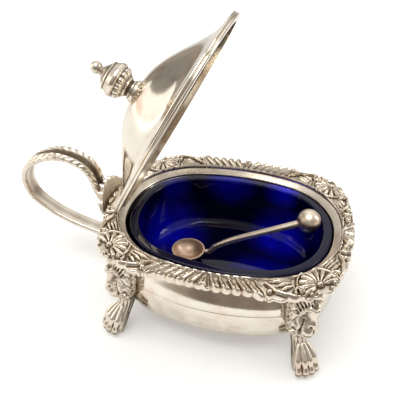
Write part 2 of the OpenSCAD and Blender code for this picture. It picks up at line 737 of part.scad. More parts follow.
// The stem leaves the brim level, cranks up and runs straight into the ball.
stem_line = [
    [bowl_r + seat_gap, brim_z - stem_r0],
    [1.32 * bowl_r, brim_z - 0.4 * stem_r0],
    [1.7 * bowl_r, brim_z + 0.5 * bowl_depth],
    [mix(bowl_r, spoon_l, 0.3), mix(brim_z, ball_z, 0.36)],
    [mix(bowl_r, spoon_l, 0.65), mix(brim_z, ball_z, 0.68)],
    [spoon_l, ball_z]
];
stem_end = stem_line[len(stem_line) - 1] - stem_line[len(stem_line) - 2];
stem_tilt = atan2(stem_end.y, stem_end.x);
module spoon_stem() {
    steps = 20;
    sides = 8;
    tip_gap = ball_r - socket_l + seat_gap;
    tip = [spoon_l, ball_z] - tip_gap * [cos(stem_tilt), sin(stem_tilt)];
    line = [for (i = [0 : len(stem_line) - 2]) stem_line[i], tip];
    color(silver) spoon_place() skin([for (j = [0 : steps])
        let(
            k = j / steps,
            p = curve_at(line, k),
            d = curve_at(line, min(1, k + 0.01)) - curve_at(line, max(0, k - 0.01)),
            along = j == 0 ? [1, 0] : j == steps ? [cos(stem_tilt), sin(stem_tilt)] : d / norm(d),
            r = mix(stem_r0, stem_r1, k)
        )
        [for (i = [0 : sides - 1]) let(a = 360 * i / sides)
            [p.x - along.y * r * cos(a), -r * sin(a), p.y + along.x * r * cos(a)]]
    ]);
}

module spoon_ball() {
    color(silver) spoon_place() translate([spoon_l, 0, ball_z]) rotate([0, -90 - stem_tilt, 0]) difference() {
        sphere(ball_r);
        translate([0, 0, ball_r - socket_l]) cylinder(r = stem_r1 + seat_gap, h = ball_r);
    }
}

body_shell();
rim_collar();
border_gadroon_front();
border_gadroon_back();
border_shell_front_left();
border_shell_front_right();
border_shell_back_left();
border_shell_back_right();
border_end_free();
border_end_handle();
lion_foot_front_left();
lion_foot_front_right();
lion_foot_back_left();
lion_foot_back_right();
handle();
handle_leaf();
hinge_body_leaf();
hinge_pin();
glass_liner();
lid_dome();
lid_rim();
hinge_lid_leaf();
finial();
finial_nut();
spoon_bowl();
spoon_stem();
spoon_ball();
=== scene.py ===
"""Looks of an oblong footed mustard pot: fine pieces, finishes and a stage around the packed solids."""

import json
import math

import bmesh
import bpy
import numpy as np
from mathutils import Matrix, Vector


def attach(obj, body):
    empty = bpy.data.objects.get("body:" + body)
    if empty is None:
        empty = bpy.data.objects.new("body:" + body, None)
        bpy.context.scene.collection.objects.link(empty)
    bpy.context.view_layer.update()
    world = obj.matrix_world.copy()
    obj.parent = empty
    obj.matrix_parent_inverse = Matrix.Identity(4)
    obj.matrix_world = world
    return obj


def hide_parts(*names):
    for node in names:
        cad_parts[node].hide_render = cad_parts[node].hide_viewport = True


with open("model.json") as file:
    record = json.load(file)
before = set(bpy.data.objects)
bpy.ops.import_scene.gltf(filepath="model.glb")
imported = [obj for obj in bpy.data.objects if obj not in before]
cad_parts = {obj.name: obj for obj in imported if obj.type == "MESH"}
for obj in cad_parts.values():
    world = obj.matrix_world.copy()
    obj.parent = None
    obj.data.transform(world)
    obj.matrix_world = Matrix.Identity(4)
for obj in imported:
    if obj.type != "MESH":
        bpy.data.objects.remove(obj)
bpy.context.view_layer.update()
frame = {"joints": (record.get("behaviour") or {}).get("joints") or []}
JOINTS = {joint["name"]: joint for joint in frame["joints"]}

bl_info = {
    "name": "Mustard pot",
    "version": (1, 0, 0),
    "blender": (4, 5, 0),
    "location": "View3D > Sidebar > Mustard pot",
    "description": "Builds the visible pieces of a footed mustard pot around its solids",
    "category": "Add Mesh",
}

MM = 0.001

# Gaps in millimetres: between fixed pieces, between moving ones, and round a pin in its bore
SEAT_GAP = 0.1
MOVE_GAP = 0.3
RUN_GAP = 0.03

# How squarely the body turns under its belly: 2 would be an ellipse
FULLNESS = 4.5

# Rings that close a flat bottom, as shares of its outline
BOTTOM_RINGS = (0, 0.3, 0.6, 0.9)


# Sizes and colours


def length(name, text, mm):
    return bpy.props.FloatProperty(name=name, description=text, default=mm * MM, unit="LENGTH", precision=5)


def angle(name, text, degrees):
    return bpy.props.FloatProperty(
        name=name, description=text, default=math.radians(degrees), subtype="ANGLE")


def colour(name, text, value):
    return bpy.props.FloatVectorProperty(
        name=name, description=text, default=value, size=3, subtype="COLOR", min=0, max=1)


def count(name, text, value):
    return bpy.props.IntProperty(name=name, description=text, default=value, min=1)


def share(name, text, value):
    return bpy.props.FloatProperty(name=name, description=text, default=value, min=0, max=1, subtype="FACTOR")


class PotSizes(bpy.types.PropertyGroup):
    opening_l: length("Opening length", "Length of the opening inside the rim band", 74)
    opening_w: length("Opening width", "Width of the opening inside the rim band", 58)
    opening_corner_r: length("Opening corner", "Radius of the opening's corners", 25)
    side_bow: angle("Side bow", "Half angle of the bowed long sides", 14.7)
    end_bow: angle("End bow", "Half angle of the bowed ends", 12.3)
    rim_h: length("Rim height", "Height of the rim's flat top above the table", 35.5)
    body_base_h: length("Base height", "Height of the body's underside above the table", 8.6)
    belly_h: length("Belly height", "Height of the fullest part of the belly", 20)
    belly_out: length("Belly", "How far the belly stands out past the opening", 3.6)
    neck_out: length("Neck", "How far the neck stands out past the opening", 0.7)
    base_in: length("Bottom curve", "How far the bottom curve runs in below the belly", 8)
    wall_t: length("Sheet", "Thickness of the raised sheet", 1.1)
    band_w: length("Band width", "Width of the plain band round the opening", 2.3)
    band_fall: length("Band fall", "Fall of the plain band towards the opening", 1.3)
    flange_w: length("Flange width", "Width of the flat flange outside the band", 3.7)
    flange_t: length("Flange thickness", "Thickness of the flange", 1.0)


class BorderSizes(bpy.types.PropertyGroup):
    end_over: length("End overhang", "How far the border hangs over the flange at the ends", 0.9)
    side_over: length("Side overhang", "How far the border hangs over the flange at the sides", 4.3)
    corner_r: length("Corner radius", "Corner radius of the border's outline", 12)
    bow: angle("Bow", "Half angle of the bow of the border's outline", 16)
    relief_h: length("Relief", "Height of the border's relief", 2.2)
    edge_drop: length("Edge drop", "Turn-down of the border's outer edge", 0.7)
    gadroons: count("Gadroons", "Lobes on each long side", 12)
    corner_ribs: count("Corner ribs", "Ribs on each corner shell", 9)
    side_share: share("Side share", "Share of a quarter of the outline that a side strip takes", 0.28)
    end_share: share("End share", "Share of a quarter of the outline where an end shell starts", 0.82)


class FootSizes(bpy.types.PropertyGroup):
    turn: angle("Turn", "Direction in which the feet face, from the long axis", 54)
    mask_half_w: length("Mask", "Half width of the mask", 6.3)
    leg_half_w: length("Leg", "Half width of the leg", 2.7)
    paw_half_w: length("Paw", "Half width of the paw", 4.8)


class HandleSizes(bpy.types.PropertyGroup):
    reach: length("Reach", "Reach of the handle past the end of the border", 35.9)
    rise: length("Rise", "Height of the loop's top above the rim", 15.4)
    foot_h: length("Foot", "Height of the loop's foot above the body's underside", 8)
    strap_w: length("Strap width", "Width of the strap", 8.4)
    strap_t: length("Strap thickness", "Thickness of the strap", 2.8)
    leaf_half_w: length("Leaf", "Half width of the leaf at the upper root", 11)
    leaf_rise: length("Leaf height", "Height of the leaf above the rim", 7.5)
    leaf_t: length("Leaf thickness", "Thickness of the leaf", 1.2)


class LidSizes(bpy.types.PropertyGroup):
    angle: angle("Open angle", "Angle of the open lid", 62)
    set_in: length("Set in", "How far the lid is set in from the band at the hinge", 2)
    rim_h: length("Edge height", "Height of the lid's reeded edge", 2.0)
    height: length("Height", "Height of the lid without its finial", 15.6)
    sheet_t: length("Sheet", "Thickness of the lid's sheet", 0.9)
    knuckle_r: length("Knuckle", "Radius of the hinge's knuckles", 1.5)
    pin_r: length("Pin", "Radius of the hinge's pin", 0.6)
    hinge_l: length("Hinge length", "Length of the three knuckles together", 14)
    mid_knuckle_l: length("Lid knuckle", "Length of the lid's knuckle", 4.6)
    finial_base_r: length("Finial base", "Radius of the finial's base", 4.0)
    urn_r: length("Urn", "Greatest radius of the urn", 6.0)
    urn_h: length("Urn height", "Height of the urn's cover above the lid", 13.3)
    ball_r: length("Finial ball", "Radius of the ball on top", 2.1)
    stud_r: length("Stud", "Radius of the finial's stud", 1.2)
    urn_lobes: count("Urn lobes", "Lobes round the urn", 14)


class LinerSizes(bpy.types.PropertyGroup):
    gap: length("Gap", "Gap round the glass liner", 0.9)
    glass_t: length("Glass wall", "Thickness of the glass wall", 3.3)
    base_t: length("Glass bottom", "Thickness of the glass bottom", 3.0)
    lip_drop: length("Lip drop", "Depth of the glass lip below the rim", 1.2)
    foot_h: length("Foot curve height", "Height of the curve at the liner's foot", 8.3)
    foot_run: length("Foot curve run", "Run of the curve at the liner's foot", 7)


class SpoonSizes(bpy.types.PropertyGroup):
    bowl_r: length("Bowl", "Radius of the bowl's brim", 6.3)
    bowl_depth: length("Bowl depth", "Depth of the bowl", 4.4)
    bowl_t: length("Bowl sheet", "Thickness of the bowl's sheet", 0.6)
    turn: angle("Turn", "Direction of the stem from the long axis", 10)
    reach: length("Length", "Distance from the bowl's centre to the ball's centre", 43.6)
    ball_drop: length("Ball drop", "Height of the ball's centre below the rim", 1.4)
    ball_r: length("Ball", "Radius of the ball", 4.3)
    stem_r0: length("Stem at the bowl", "Radius of the stem at the bowl", 0.9)
    stem_r1: length("Stem at the ball", "Radius of the stem at the ball", 1.35)


class Finishes(bpy.types.PropertyGroup):
    silver: colour("Silver", "Polished silver plate", (0.90, 0.84, 0.74))
    old_silver: colour("Chased silver", "Silver on the high points of the chasing", (0.88, 0.80, 0.69))
    # The tarnish colours also stand for painted shade where a piece's sheets carry shade
    old_tarnish: colour("Old tarnish", "Brown in the hollows of the cast pieces", (0.13, 0.095, 0.06))
    tarnish: colour("Tarnish", "Brown tarnish in the hollows", (0.085, 0.055, 0.03))
    copper: colour("Copper", "Copper that shows through where the plate is worn", (0.78, 0.52, 0.40))
    bloom: colour("Bloom", "Yellowish bloom on the plate", (0.62, 0.52, 0.40))
    # cobalt is the colour of the painted glow patches in the glass
    cobalt: colour("Cobalt", "Colour of the glass where light gathers in it", (0.004, 0.004, 1.0))
    rubbed: colour("Rubbed gilding", "Pinkish silver of the spoon's stem and ball", (0.90, 0.79, 0.68))
    gilt: colour("Worn gilt", "Brownish pink of the spoon's bowl", (0.72, 0.53, 0.40))
    floor: colour("Floor", "Paper under the pot", (0.88, 0.88, 0.88))


class StageSet(bpy.types.PropertyGroup):
    azimuth: angle("Azimuth", "Direction of the camera from the front", 10.87)
    elevation: angle("Elevation", "Height of the camera over the table", 40.9)
    distance: length("Distance", "Distance of the camera from the pot's middle", 194.6)
    aim_h: length("Aim height", "Height of the point that the camera stands round", 18)
    yaw: angle("Yaw", "Turn of the view to the side of the pot's middle", 4.06)
    pitch: angle("Pitch", "Tilt of the view from the pot's middle", -5.82)
    roll: angle("Roll", "Roll of the camera", 0.54)
    focal: bpy.props.FloatProperty(
        name="Focal length", description="Focal length of the lens in millimetres", default=46.03)


GROUPS = {
    "pot_sizes": PotSizes, "border_sizes": BorderSizes, "foot_sizes": FootSizes, "handle_sizes": HandleSizes,
    "lid_sizes": LidSizes, "liner_sizes": LinerSizes, "spoon_sizes": SpoonSizes, "pot_finishes": Finishes,
    "pot_stage": StageSet,
}


class Values:
    """The sizes of one group in millimetres, and its angles in radians."""

    def __init__(self, group):
        for key in group.__annotations__:
            rna = group.bl_rna.properties[key]
            value = getattr(group, key)
            setattr(self, key, value / MM if rna.unit == "LENGTH" else value)


def values(name):
    return Values(getattr(bpy.context.scene, name))


# Curves and outlines


def mix(a, b, k):
    return a + (b - a) * k


def smooth(k):
    k = np.clip(k, 0, 1)
    return k * k * (3 - 2 * k)


def bump(d, width):
    return np.exp(-(d / width) ** 2)


def rib(g, n):
    return np.abs(np.cos(math.pi * g * n))


def powered(x, power):
    """A power of the size of x, with its sign kept."""
    return np.sign(x) * np.abs(x) ** power


def curve_at(points, k):
    """Points on a smooth curve through the listed points, at the shares k of its length."""
    points = np.asarray(points, float)
    n = len(points) - 1
    k = np.atleast_1d(k).astype(float)
    i = np.minimum(n - 1, np.floor(k * n).astype(int))
    f = (k * n - i)[:, None]
    p0, p1 = points[np.maximum(0, i - 1)], points[i]
    p2, p3 = points[i + 1], points[np.minimum(n, i + 2)]
    return 0.5 * (2 * p1 + (p2 - p0) * f + (2 * p0 - 5 * p1 + 4 * p2 - p3) * f ** 2
                  + (3 * p1 - p0 - 3 * p2 + p3) * f ** 3)


def eased(x, table, width=0.03):
    """A table of (place, value) read at x with its kinks rounded off."""
    places, heights = np.array(table, float).T
    offsets = np.linspace(-1, 1, 9)
    weights = np.exp(-2 * offsets ** 2)
    reads = [np.interp(x + o * width, places, heights) * w for o, w in zip(offsets, weights)]
    return sum(reads) / weights.sum()


def rounded(points, r, n=4):
    """A closed outline with each corner cut to a small curve."""
    points = np.asarray(points, float)
    out = []
    for i, p in enumerate(points):
        a, b = points[i - 1] - p, points[(i + 1) % len(points)] - p
        la, lb = np.linalg.norm(a), np.linalg.norm(b)
        p0, p1 = p + a / la * min(r, 0.45 * la), p + b / lb * min(r, 0.45 * lb)
        for k in np.linspace(0, 1, n + 1):
            out.append(p0 * (1 - k) ** 2 + 2 * p * k * (1 - k) + p1 * k ** 2)
    return np.array(out)


class Oblong:
    """An outline of eight tangent arcs: two sides, two ends and four corners."""

    def __init__(self, half_l, half_w, corner_r, side_a, end_a):
        ss, cs, se, ce = math.sin(side_a), math.cos(side_a), math.sin(end_a), math.cos(end_a)
        det = ss * se - (1 - ce) * (1 - cs)
        a = ((half_l - corner_r) * se - (half_w - corner_r) * (1 - ce)) / det
        b = ((half_w - corner_r) * ss - (half_l - corner_r) * (1 - cs)) / det
        self.corner_r, self.side_r, self.end_r = corner_r, a + corner_r, b + corner_r
        self.side_a, self.end_a = side_a, end_a
        self.side_y, self.end_x = half_w - corner_r - a, half_l - corner_r - b
        self.corner = (a * ss, self.side_y + a * cs)

    def arcs(self, u):
        corner_a = math.pi / 2 - self.side_a - self.end_a
        return (self.side_r + u) * self.side_a, (self.corner_r + u) * corner_a, (self.end_r + u) * self.end_a

    def quarter(self, u, f):
        """Points at the share f of a quarter, from the middle of the side to the middle of the end."""
        side, corner, end = self.arcs(u)
        s = f * (side + corner + end)
        rs, rc, re = self.side_r + u, self.corner_r + u, self.end_r + u
        on_side, on_corner = s < side, s < side + corner
        turn = np.where(
            on_side, math.pi / 2 - s / rs,
            np.where(on_corner, math.pi / 2 - self.side_a - (s - side) / rc,
                     self.end_a - (s - side - corner) / re))
        r = np.where(on_side, rs, np.where(on_corner, rc, re))
        cx = np.where(on_side, 0, np.where(on_corner, self.corner[0], self.end_x))
        cy = np.where(on_side, self.side_y, np.where(on_corner, self.corner[1], 0))
        return cx + r * np.cos(turn), cy + r * np.sin(turn)

    def at(self, u, t):
        """Points on the whole outline: t runs from 0 to 4, clockwise from the middle of the back."""
        w = np.mod(np.asarray(t, float), 4)
        q = np.floor(w)
        f = np.where(q % 2 == 0, w - q, 1 - (w - q))
        x, y = self.quarter(u, f)
        return np.stack([np.where(q < 2, x, -x), np.where((q == 0) | (q == 3), y, -y)], -1)

    def swept(self, profile, n=256):
        """Rings for rows of (stand-out, height, share); a share under 1 draws the ring to the middle."""
        t = -np.arange(n) * 4 / n
        rings = []
        for u, z, k in profile:
            xy = self.at(u, t) * k
            rings.append(np.column_stack([xy, np.full(n, z)]))
        return np.array(rings)


def opening_outline():
    pot = values("pot_sizes")
    return Oblong(pot.opening_l / 2, pot.opening_w / 2, pot.opening_corner_r, pot.side_bow, pot.end_bow)


def border_half():
    pot, border = values("pot_sizes"), values("border_sizes")
    flange = pot.band_w + pot.flange_w
    return pot.opening_l / 2 + flange + border.end_over, pot.opening_w / 2 + flange + border.side_over


def border_outline():
    border = values("border_sizes")
    half_l, half_w = border_half()
    return Oblong(half_l, half_w, border.corner_r, border.bow, border.bow)


# Mesh building

# Distance in metres under which points are joined
WELD = 2e-6


class Sheets:
    """Grids of points in millimetres that make up one piece."""

    def __init__(self):
        self.points, self.faces, self.shade, self.used = [], [], [], 0

    def add(self, grid, wrap_u=False, wrap_v=False, cap=False, shade=0.0):
        grid = np.asarray(grid, float)
        n, m = grid.shape[:2]
        i = np.arange(n if wrap_u else n - 1)
        j = np.arange(m if wrap_v else m - 1)
        i, j = (k.ravel() for k in np.meshgrid(i, j, indexing="ij"))
        i2, j2 = (i + 1) % n, (j + 1) % m
        quads = np.stack([i * m + j, i2 * m + j, i2 * m + j2, i * m + j2], -1) + self.used
        self.faces += quads.tolist()
        if cap:
            self.faces.append([self.used + k for k in range(m)])
            self.faces.append([self.used + (n - 1) * m + k for k in range(m)])
        self.points.append(grid.reshape(-1, 3))
        self.shade.append(np.broadcast_to(np.asarray(shade, float), grid.shape[:2]).ravel())
        self.used += n * m
        return self

    def moved(self, change):
        self.points = [change(p) for p in self.points]
        return self


def hollows(mesh, rounds, depth):
    """How far each point lies below its smoothed surroundings, as a share of a depth in millimetres."""
    n = len(mesh.vertices)
    co, normal = np.zeros(n * 3), np.zeros(n * 3)
    mesh.vertices.foreach_get("co", co)
    mesh.vertex_normals.foreach_get("vector", normal)
    co, normal = co.reshape(-1, 3), normal.reshape(-1, 3)
    ends = np.zeros(len(mesh.edges) * 2, np.int64)
    mesh.edges.foreach_get("vertices", ends)
    a, b = ends.reshape(-1, 2).T
    degree = np.maximum(1, np.bincount(a, minlength=n) + np.bincount(b, minlength=n))
    soft = co.copy()
    for _ in range(rounds):
        for axis in range(3):
            total = (np.bincount(a, soft[b, axis], n) + np.bincount(b, soft[a, axis], n)) / degree
            soft[:, axis] = 0.4 * soft[:, axis] + 0.6 * total
    return np.clip(((soft - co) * normal).sum(1) / (depth * MM), -1, 1)


def make(name, node, sheets, finish, body, hollow=(12, 0.5), sharp=38):
    """Turns sheets into a piece that rides on a body and stands for a solid of the frame.

    The hollow setting is the rounds of smoothing and the depth that hollows() takes.
    """
    mesh = bpy.data.meshes.new(name)
    points = np.concatenate(sheets.points) * MM
    mesh.from_pydata(points.tolist(), [], sheets.faces)
    layer = mesh.attributes.new("hollow", "FLOAT", "POINT")
    layer.data.foreach_set("value", np.concatenate(sheets.shade).astype(np.float32))
    bm = bmesh.new()
    bm.from_mesh(mesh)
    bmesh.ops.remove_doubles(bm, verts=bm.verts, dist=WELD)
    bmesh.ops.recalc_face_normals(bm, faces=bm.faces)
    bm.to_mesh(mesh)
    bm.free()
    mesh.shade_smooth()
    mesh.set_sharp_from_angle(angle=math.radians(sharp))
    # The sheets' painted shade and the depth of the hollows add up in one attribute, which darkens the finish
    # towards its tarnish colour
    layer = mesh.attributes["hollow"]
    shade = np.zeros(len(mesh.vertices), np.float32)
    layer.data.foreach_get("value", shade)
    layer.data.foreach_set("value", (shade + hollows(mesh, *hollow)).astype(np.float32))
    piece = bpy.data.objects.new(name, mesh)
    bpy.context.scene.collection.objects.link(piece)
    mesh.materials.append(finish)
    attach(piece, body)
    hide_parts(node)
    return piece


def tube(line, along, radius, sides=28):
    """Rings of a round rod whose middle line lies in the xz plane."""
    a = np.arange(sides) * 2 * math.pi / sides
    rings = []
    for p, d, r in zip(line, along, radius):
        up = np.array([-d[1], d[0]])
        xz = p + np.outer(np.cos(a) * r, up)
        rings.append(np.column_stack([xz[:, 0], np.sin(a) * r, xz[:, 1]]))
    return np.array(rings)


def lathe(profile, n=96, wave=None):
    """Rings for (radius, height) rows turned about z; wave changes the radius by row and angle."""
    a = np.arange(n) * 2 * math.pi / n
    rings = []
    for k, (r, z) in enumerate(profile):
        radius = np.full(n, float(r)) + (wave(k, a) if wave else 0)
        rings.append(np.column_stack([radius * np.cos(a), radius * np.sin(a), np.full(n, float(z))]))
    return np.array(rings)


def directions(line):
    d = np.gradient(line, axis=0)
    return d / np.linalg.norm(d, axis=1, keepdims=True)


# Relief drawn with strokes


def stroke(at, line, radius, height):
    """Height of a rounded ridge along a line, for points at; radius and height run along the line."""
    line = np.asarray(line, float)
    radius = np.broadcast_to(np.asarray(radius, float), len(line))
    height = np.broadcast_to(np.asarray(height, float), len(line))
    out = np.zeros(at.shape[:-1])
    for i in range(len(line) - 1):
        a, d = line[i], line[i + 1] - line[i]
        k = np.clip(((at - a) @ d) / max(1e-9, d @ d), 0, 1)
        gap = np.linalg.norm(at - a - k[..., None] * d, axis=-1) / mix(radius[i], radius[i + 1], k)
        out = np.maximum(out, mix(height[i], height[i + 1], k) * np.sqrt(np.maximum(0, 1 - gap ** 2)))
    return out


def spiral(centre, r0, r1, start, turns, n=18):
    k = np.linspace(0, 1, n)
    a = start + turns * 2 * math.pi * k
    r = mix(r0, r1, k)
    return np.column_stack([centre[0] + r * np.cos(a), centre[1] + r * np.sin(a)])


# Finishes

# Grain of the plate, as noise scales
CLOUD_SCALE, BLEED_SCALE, SPOT_SCALE, DENT_SCALE, SCRATCH_SCALE = 140, 70, 900, 210, 1600
SCRATCH_STRETCH = (1.0, 0.25, 1.6)
SCRATCH_DEPTH = 0.00004
# How much the clouds add to the stain and painted shade, the sum at which the darkening starts, and what
# spots and dents add
CLOUD_STAIN, STAIN_AND_SHADE_FROM, SPOT_ROUGHNESS, DENT_SHARE = 0.5, 0.3, 0.1, 2.0

# Grain of the glass, as noise scales
STIR_SCALE, RUB_SCALE, RIPPLE_SCALE = 150, 500, 120
RIPPLE_DEPTH = 0.0003

# Painted light in the glass's colour, for light that would gather in it: place and reach in millimetres, and
# strength
PAINTED_GLASS_GLOWS = [
    ((-27, 12, 13), 19, 1.0), ((18, 20, 14), 16, 0.85), ((14, -4, 12), 17, 0.5),
    ((17, 27, 32.5), 10, 1.0), ((-5, 27, 33), 13, 0.6), ((-28, 20, 30), 10, 0.5)]


def shader_tree(name):
    material = bpy.data.materials.new(name)
    material.use_nodes = True
    tree = material.node_tree
    return material, tree, tree.nodes["Principled BSDF"]


def add_node(tree, kind, **settings):
    made = tree.nodes.new(kind)
    for key, value in settings.items():
        if hasattr(made, key):
            setattr(made, key, value)
        else:
            made.inputs[key.replace("_", " ")].default_value = value
    return made


def feed(tree, socket, value):
    """Links a socket to the socket that gives its value, or sets it to a constant."""
    if isinstance(value, bpy.types.NodeSocket):
        tree.links.new(value, socket)
    else:
        socket.default_value = value


def worked(tree, operation, *inputs, kind="ShaderNodeMath", **settings):
    """The value of an operation on sockets and constants."""
    made = add_node(tree, kind, operation=operation, **settings)
    for socket, value in zip(made.inputs, inputs):
        feed(tree, socket, value)
    return made.outputs["Value"]


def measured(tree, operation, *inputs):
    """The value of an operation on vectors."""
    return worked(tree, operation, *inputs, kind="ShaderNodeVectorMath")


def ranged(tree, value, low, high, to_low=0.0, to_high=1.0, ease="LINEAR"):
    """A value moved from one range to another."""
    made = add_node(tree, "ShaderNodeMapRange", From_Min=low, From_Max=high, To_Min=to_low, To_Max=to_high)
    made.interpolation_type = ease
    feed(tree, made.inputs["Value"], value)
    return made.outputs["Result"]


def blended(tree, factor, a, b):
    """A colour between two colours."""
    made = add_node(tree, "ShaderNodeMix", data_type="RGBA")
    for name, value in (("Factor", factor), ("A", a), ("B", b)):
        feed(tree, made.inputs[name], value)
    return made.outputs["Result"]


def noise(tree, place, scale, detail=3.0, rough=0.5):
    made = add_node(tree, "ShaderNodeTexNoise", Scale=scale, Detail=detail, Roughness=rough)
    feed(tree, made.inputs["Vector"], place)
    return made.outputs["Fac"]


def ramp(tree, value, stops):
    made = add_node(tree, "ShaderNodeValToRGB")
    feed(tree, made.inputs["Fac"], value)
    for k, (place, shade) in enumerate(stops):
        if k > 1:
            made.color_ramp.elements.new(place)
        made.color_ramp.elements[k].position = place
        made.color_ramp.elements[k].color = (*shade, 1)
    return made.outputs["Color"]


def grey(value):
    return (value, value, value)


def bumped(tree, shader, height, strength, distance):
    """Lets a height tilt the shader's surface."""
    made = add_node(tree, "ShaderNodeBump", Strength=strength, Distance=distance)
    feed(tree, made.inputs["Height"], height)
    feed(tree, shader.inputs["Normal"], made.outputs["Normal"])


def seen_directly(tree):
    """1 for rays from the camera, also those through the glass."""
    path = add_node(tree, "ShaderNodeLightPath").outputs
    return worked(tree, "MAXIMUM", path["Is Camera Ray"], path["Is Transmission Ray"])


def silver_finish(name, bright, dark, hollow_at, rough, scratch):
    """Silver plate: bright on the high points, brown in the hollows, clouded, worn and finely scratched."""
    found = bpy.data.materials.get(name)
    if found:
        return found
    finishes = bpy.context.scene.pot_finishes
    material, tree, shader = shader_tree(name)
    place = add_node(tree, "ShaderNodeTexCoord").outputs["Object"]
    hollow = add_node(tree, "ShaderNodeAttribute", attribute_name="hollow").outputs["Fac"]

    cloud = noise(tree, place, CLOUD_SCALE, 4, 0.6)
    bloom = ramp(tree, cloud, [(0.42, grey(0)), (0.8, grey(0.45))])
    plate = blended(tree, bloom, (*bright, 1), (*finishes.bloom, 1))
    bleed = ramp(tree, noise(tree, place, BLEED_SCALE, 5, 0.65), [(0.56, grey(0)), (0.72, grey(0.55))])
    plate = blended(tree, bleed, plate, (*finishes.copper, 1))
    # Darker towards the tarnish colour in the clouds, in the hollows, and where shade is painted on the
    # sheets
    stain_and_shade = worked(tree, "MULTIPLY_ADD", cloud, CLOUD_STAIN, ranged(tree, hollow, *hollow_at))
    stain_and_shade = worked(tree, "SUBTRACT", stain_and_shade, STAIN_AND_SHADE_FROM, use_clamp=True)
    feed(tree, shader.inputs["Base Color"], blended(tree, stain_and_shade, plate, (*dark, 1)))
    shader.inputs["Metallic"].default_value = 1.0

    spots = noise(tree, place, SPOT_SCALE, 2, 0.6)
    dull = ranged(tree, stain_and_shade, 0, 1, *rough)
    feed(tree, shader.inputs["Roughness"], worked(tree, "MULTIPLY_ADD", spots, SPOT_ROUGHNESS, dull))

    stretch = add_node(tree, "ShaderNodeMapping", Scale=SCRATCH_STRETCH)
    feed(tree, stretch.inputs["Vector"], place)
    lines = noise(tree, stretch.outputs["Vector"], SCRATCH_SCALE, 2, 0.7)
    dents = noise(tree, place, DENT_SCALE, 2, 0.5)
    bumped(tree, shader, worked(tree, "MULTIPLY_ADD", dents, DENT_SHARE, lines), scratch, SCRATCH_DEPTH)
    return material


def polished():
    f = bpy.context.scene.pot_finishes
    return silver_finish("bright_plate", f.silver, f.tarnish, (0.2, 1.0), (0.05, 0.3), 0.22)


def chased():
    f = bpy.context.scene.pot_finishes
    return silver_finish("worn_plate", f.old_silver, f.old_tarnish, (-0.2, 0.45), (0.18, 0.5), 0.35)


def warm():
    f = bpy.context.scene.pot_finishes
    return silver_finish("warm_plate", f.rubbed, f.tarnish, (0.1, 0.9), (0.3, 0.5), 0.3)


def gilt():
    f = bpy.context.scene.pot_finishes
    return silver_finish("worn_gilt", f.gilt, f.tarnish, (0.2, 1.0), (0.36, 0.55), 0.5)


def cobalt():
    """Thick cobalt glass: nearly black, with the light it gathers standing in blue patches."""
    found = bpy.data.materials.get("blue_glass")
    if found:
        return found
    blue = bpy.context.scene.pot_finishes.cobalt
    material, tree, shader = shader_tree("blue_glass")
    place = add_node(tree, "ShaderNodeTexCoord").outputs["Object"]
    painted_glow = 0.0
    for centre, wide, level in PAINTED_GLASS_GLOWS:
        far = measured(tree, "DISTANCE", place, Vector(centre) * MM)
        patch = ranged(tree, far, wide * MM, 0.2 * wide * MM, 0, level, "SMOOTHSTEP")
        painted_glow = worked(tree, "MAXIMUM", painted_glow, patch)
    stirred = ramp(tree, noise(tree, place, STIR_SCALE), [(0.3, grey(0.55)), (0.65, grey(1))])
    tint = ramp(tree, worked(tree, "MULTIPLY", painted_glow, stirred), [
        (k, tuple(depth * c for c in blue)) for k, depth in ((0.0, 0.03), (0.5, 0.45), (1.0, 1.0))])
    feed(tree, shader.inputs["Base Color"], tint)
    rub = ramp(tree, noise(tree, place, RUB_SCALE, 4, 0.7), [(0.5, grey(0.02)), (0.75, grey(0.12))])
    feed(tree, shader.inputs["Roughness"], rub)
    shader.inputs["Transmission Weight"].default_value = 0.3
    shader.inputs["IOR"].default_value = 1.5
    shader.inputs["Specular IOR Level"].default_value = 0.24
    bumped(tree, shader, noise(tree, place, RIPPLE_SCALE, 1), 0.12, RIPPLE_DEPTH)
    return material


# Body and rim

# Height over which the neck flares out to the flange
FLARE_H = 3.5


def body_profile(pot):
    flange_z = pot.rim_h - pot.flange_t
    neck_h = flange_z - FLARE_H
    top_out = pot.band_w + pot.wall_t / 2
    floor_z = pot.body_base_h + pot.wall_t

    def turned_under(rise, run, z):
        k = np.clip((pot.belly_h - z) / rise, 0, 1)
        return run * (1 - (1 - k ** FULLNESS) ** (1 / FULLNESS))

    def out(z):
        z = np.asarray(z, float)
        low = pot.belly_out - turned_under(pot.belly_h - pot.body_base_h, pot.base_in, z)
        k = 0.5 + 0.5 * np.cos(math.pi * np.clip((z - pot.belly_h) / (neck_h - pot.belly_h), 0, 1))
        high = mix(pot.neck_out, pot.belly_out, k)
        flare = mix(pot.neck_out, top_out, np.maximum(0, (z - neck_h) / (flange_z - neck_h)) ** 2)
        return np.where(z < pot.belly_h, low, np.where(z < neck_h, high, flare))

    def into(z):
        z = np.asarray(z, float)
        under = turned_under(pot.belly_h - floor_z, pot.base_in - pot.wall_t / 2, z)
        return np.where(z < pot.belly_h, pot.belly_out - pot.wall_t - under, out(z) - pot.wall_t)

    return out, into, flange_z, floor_z


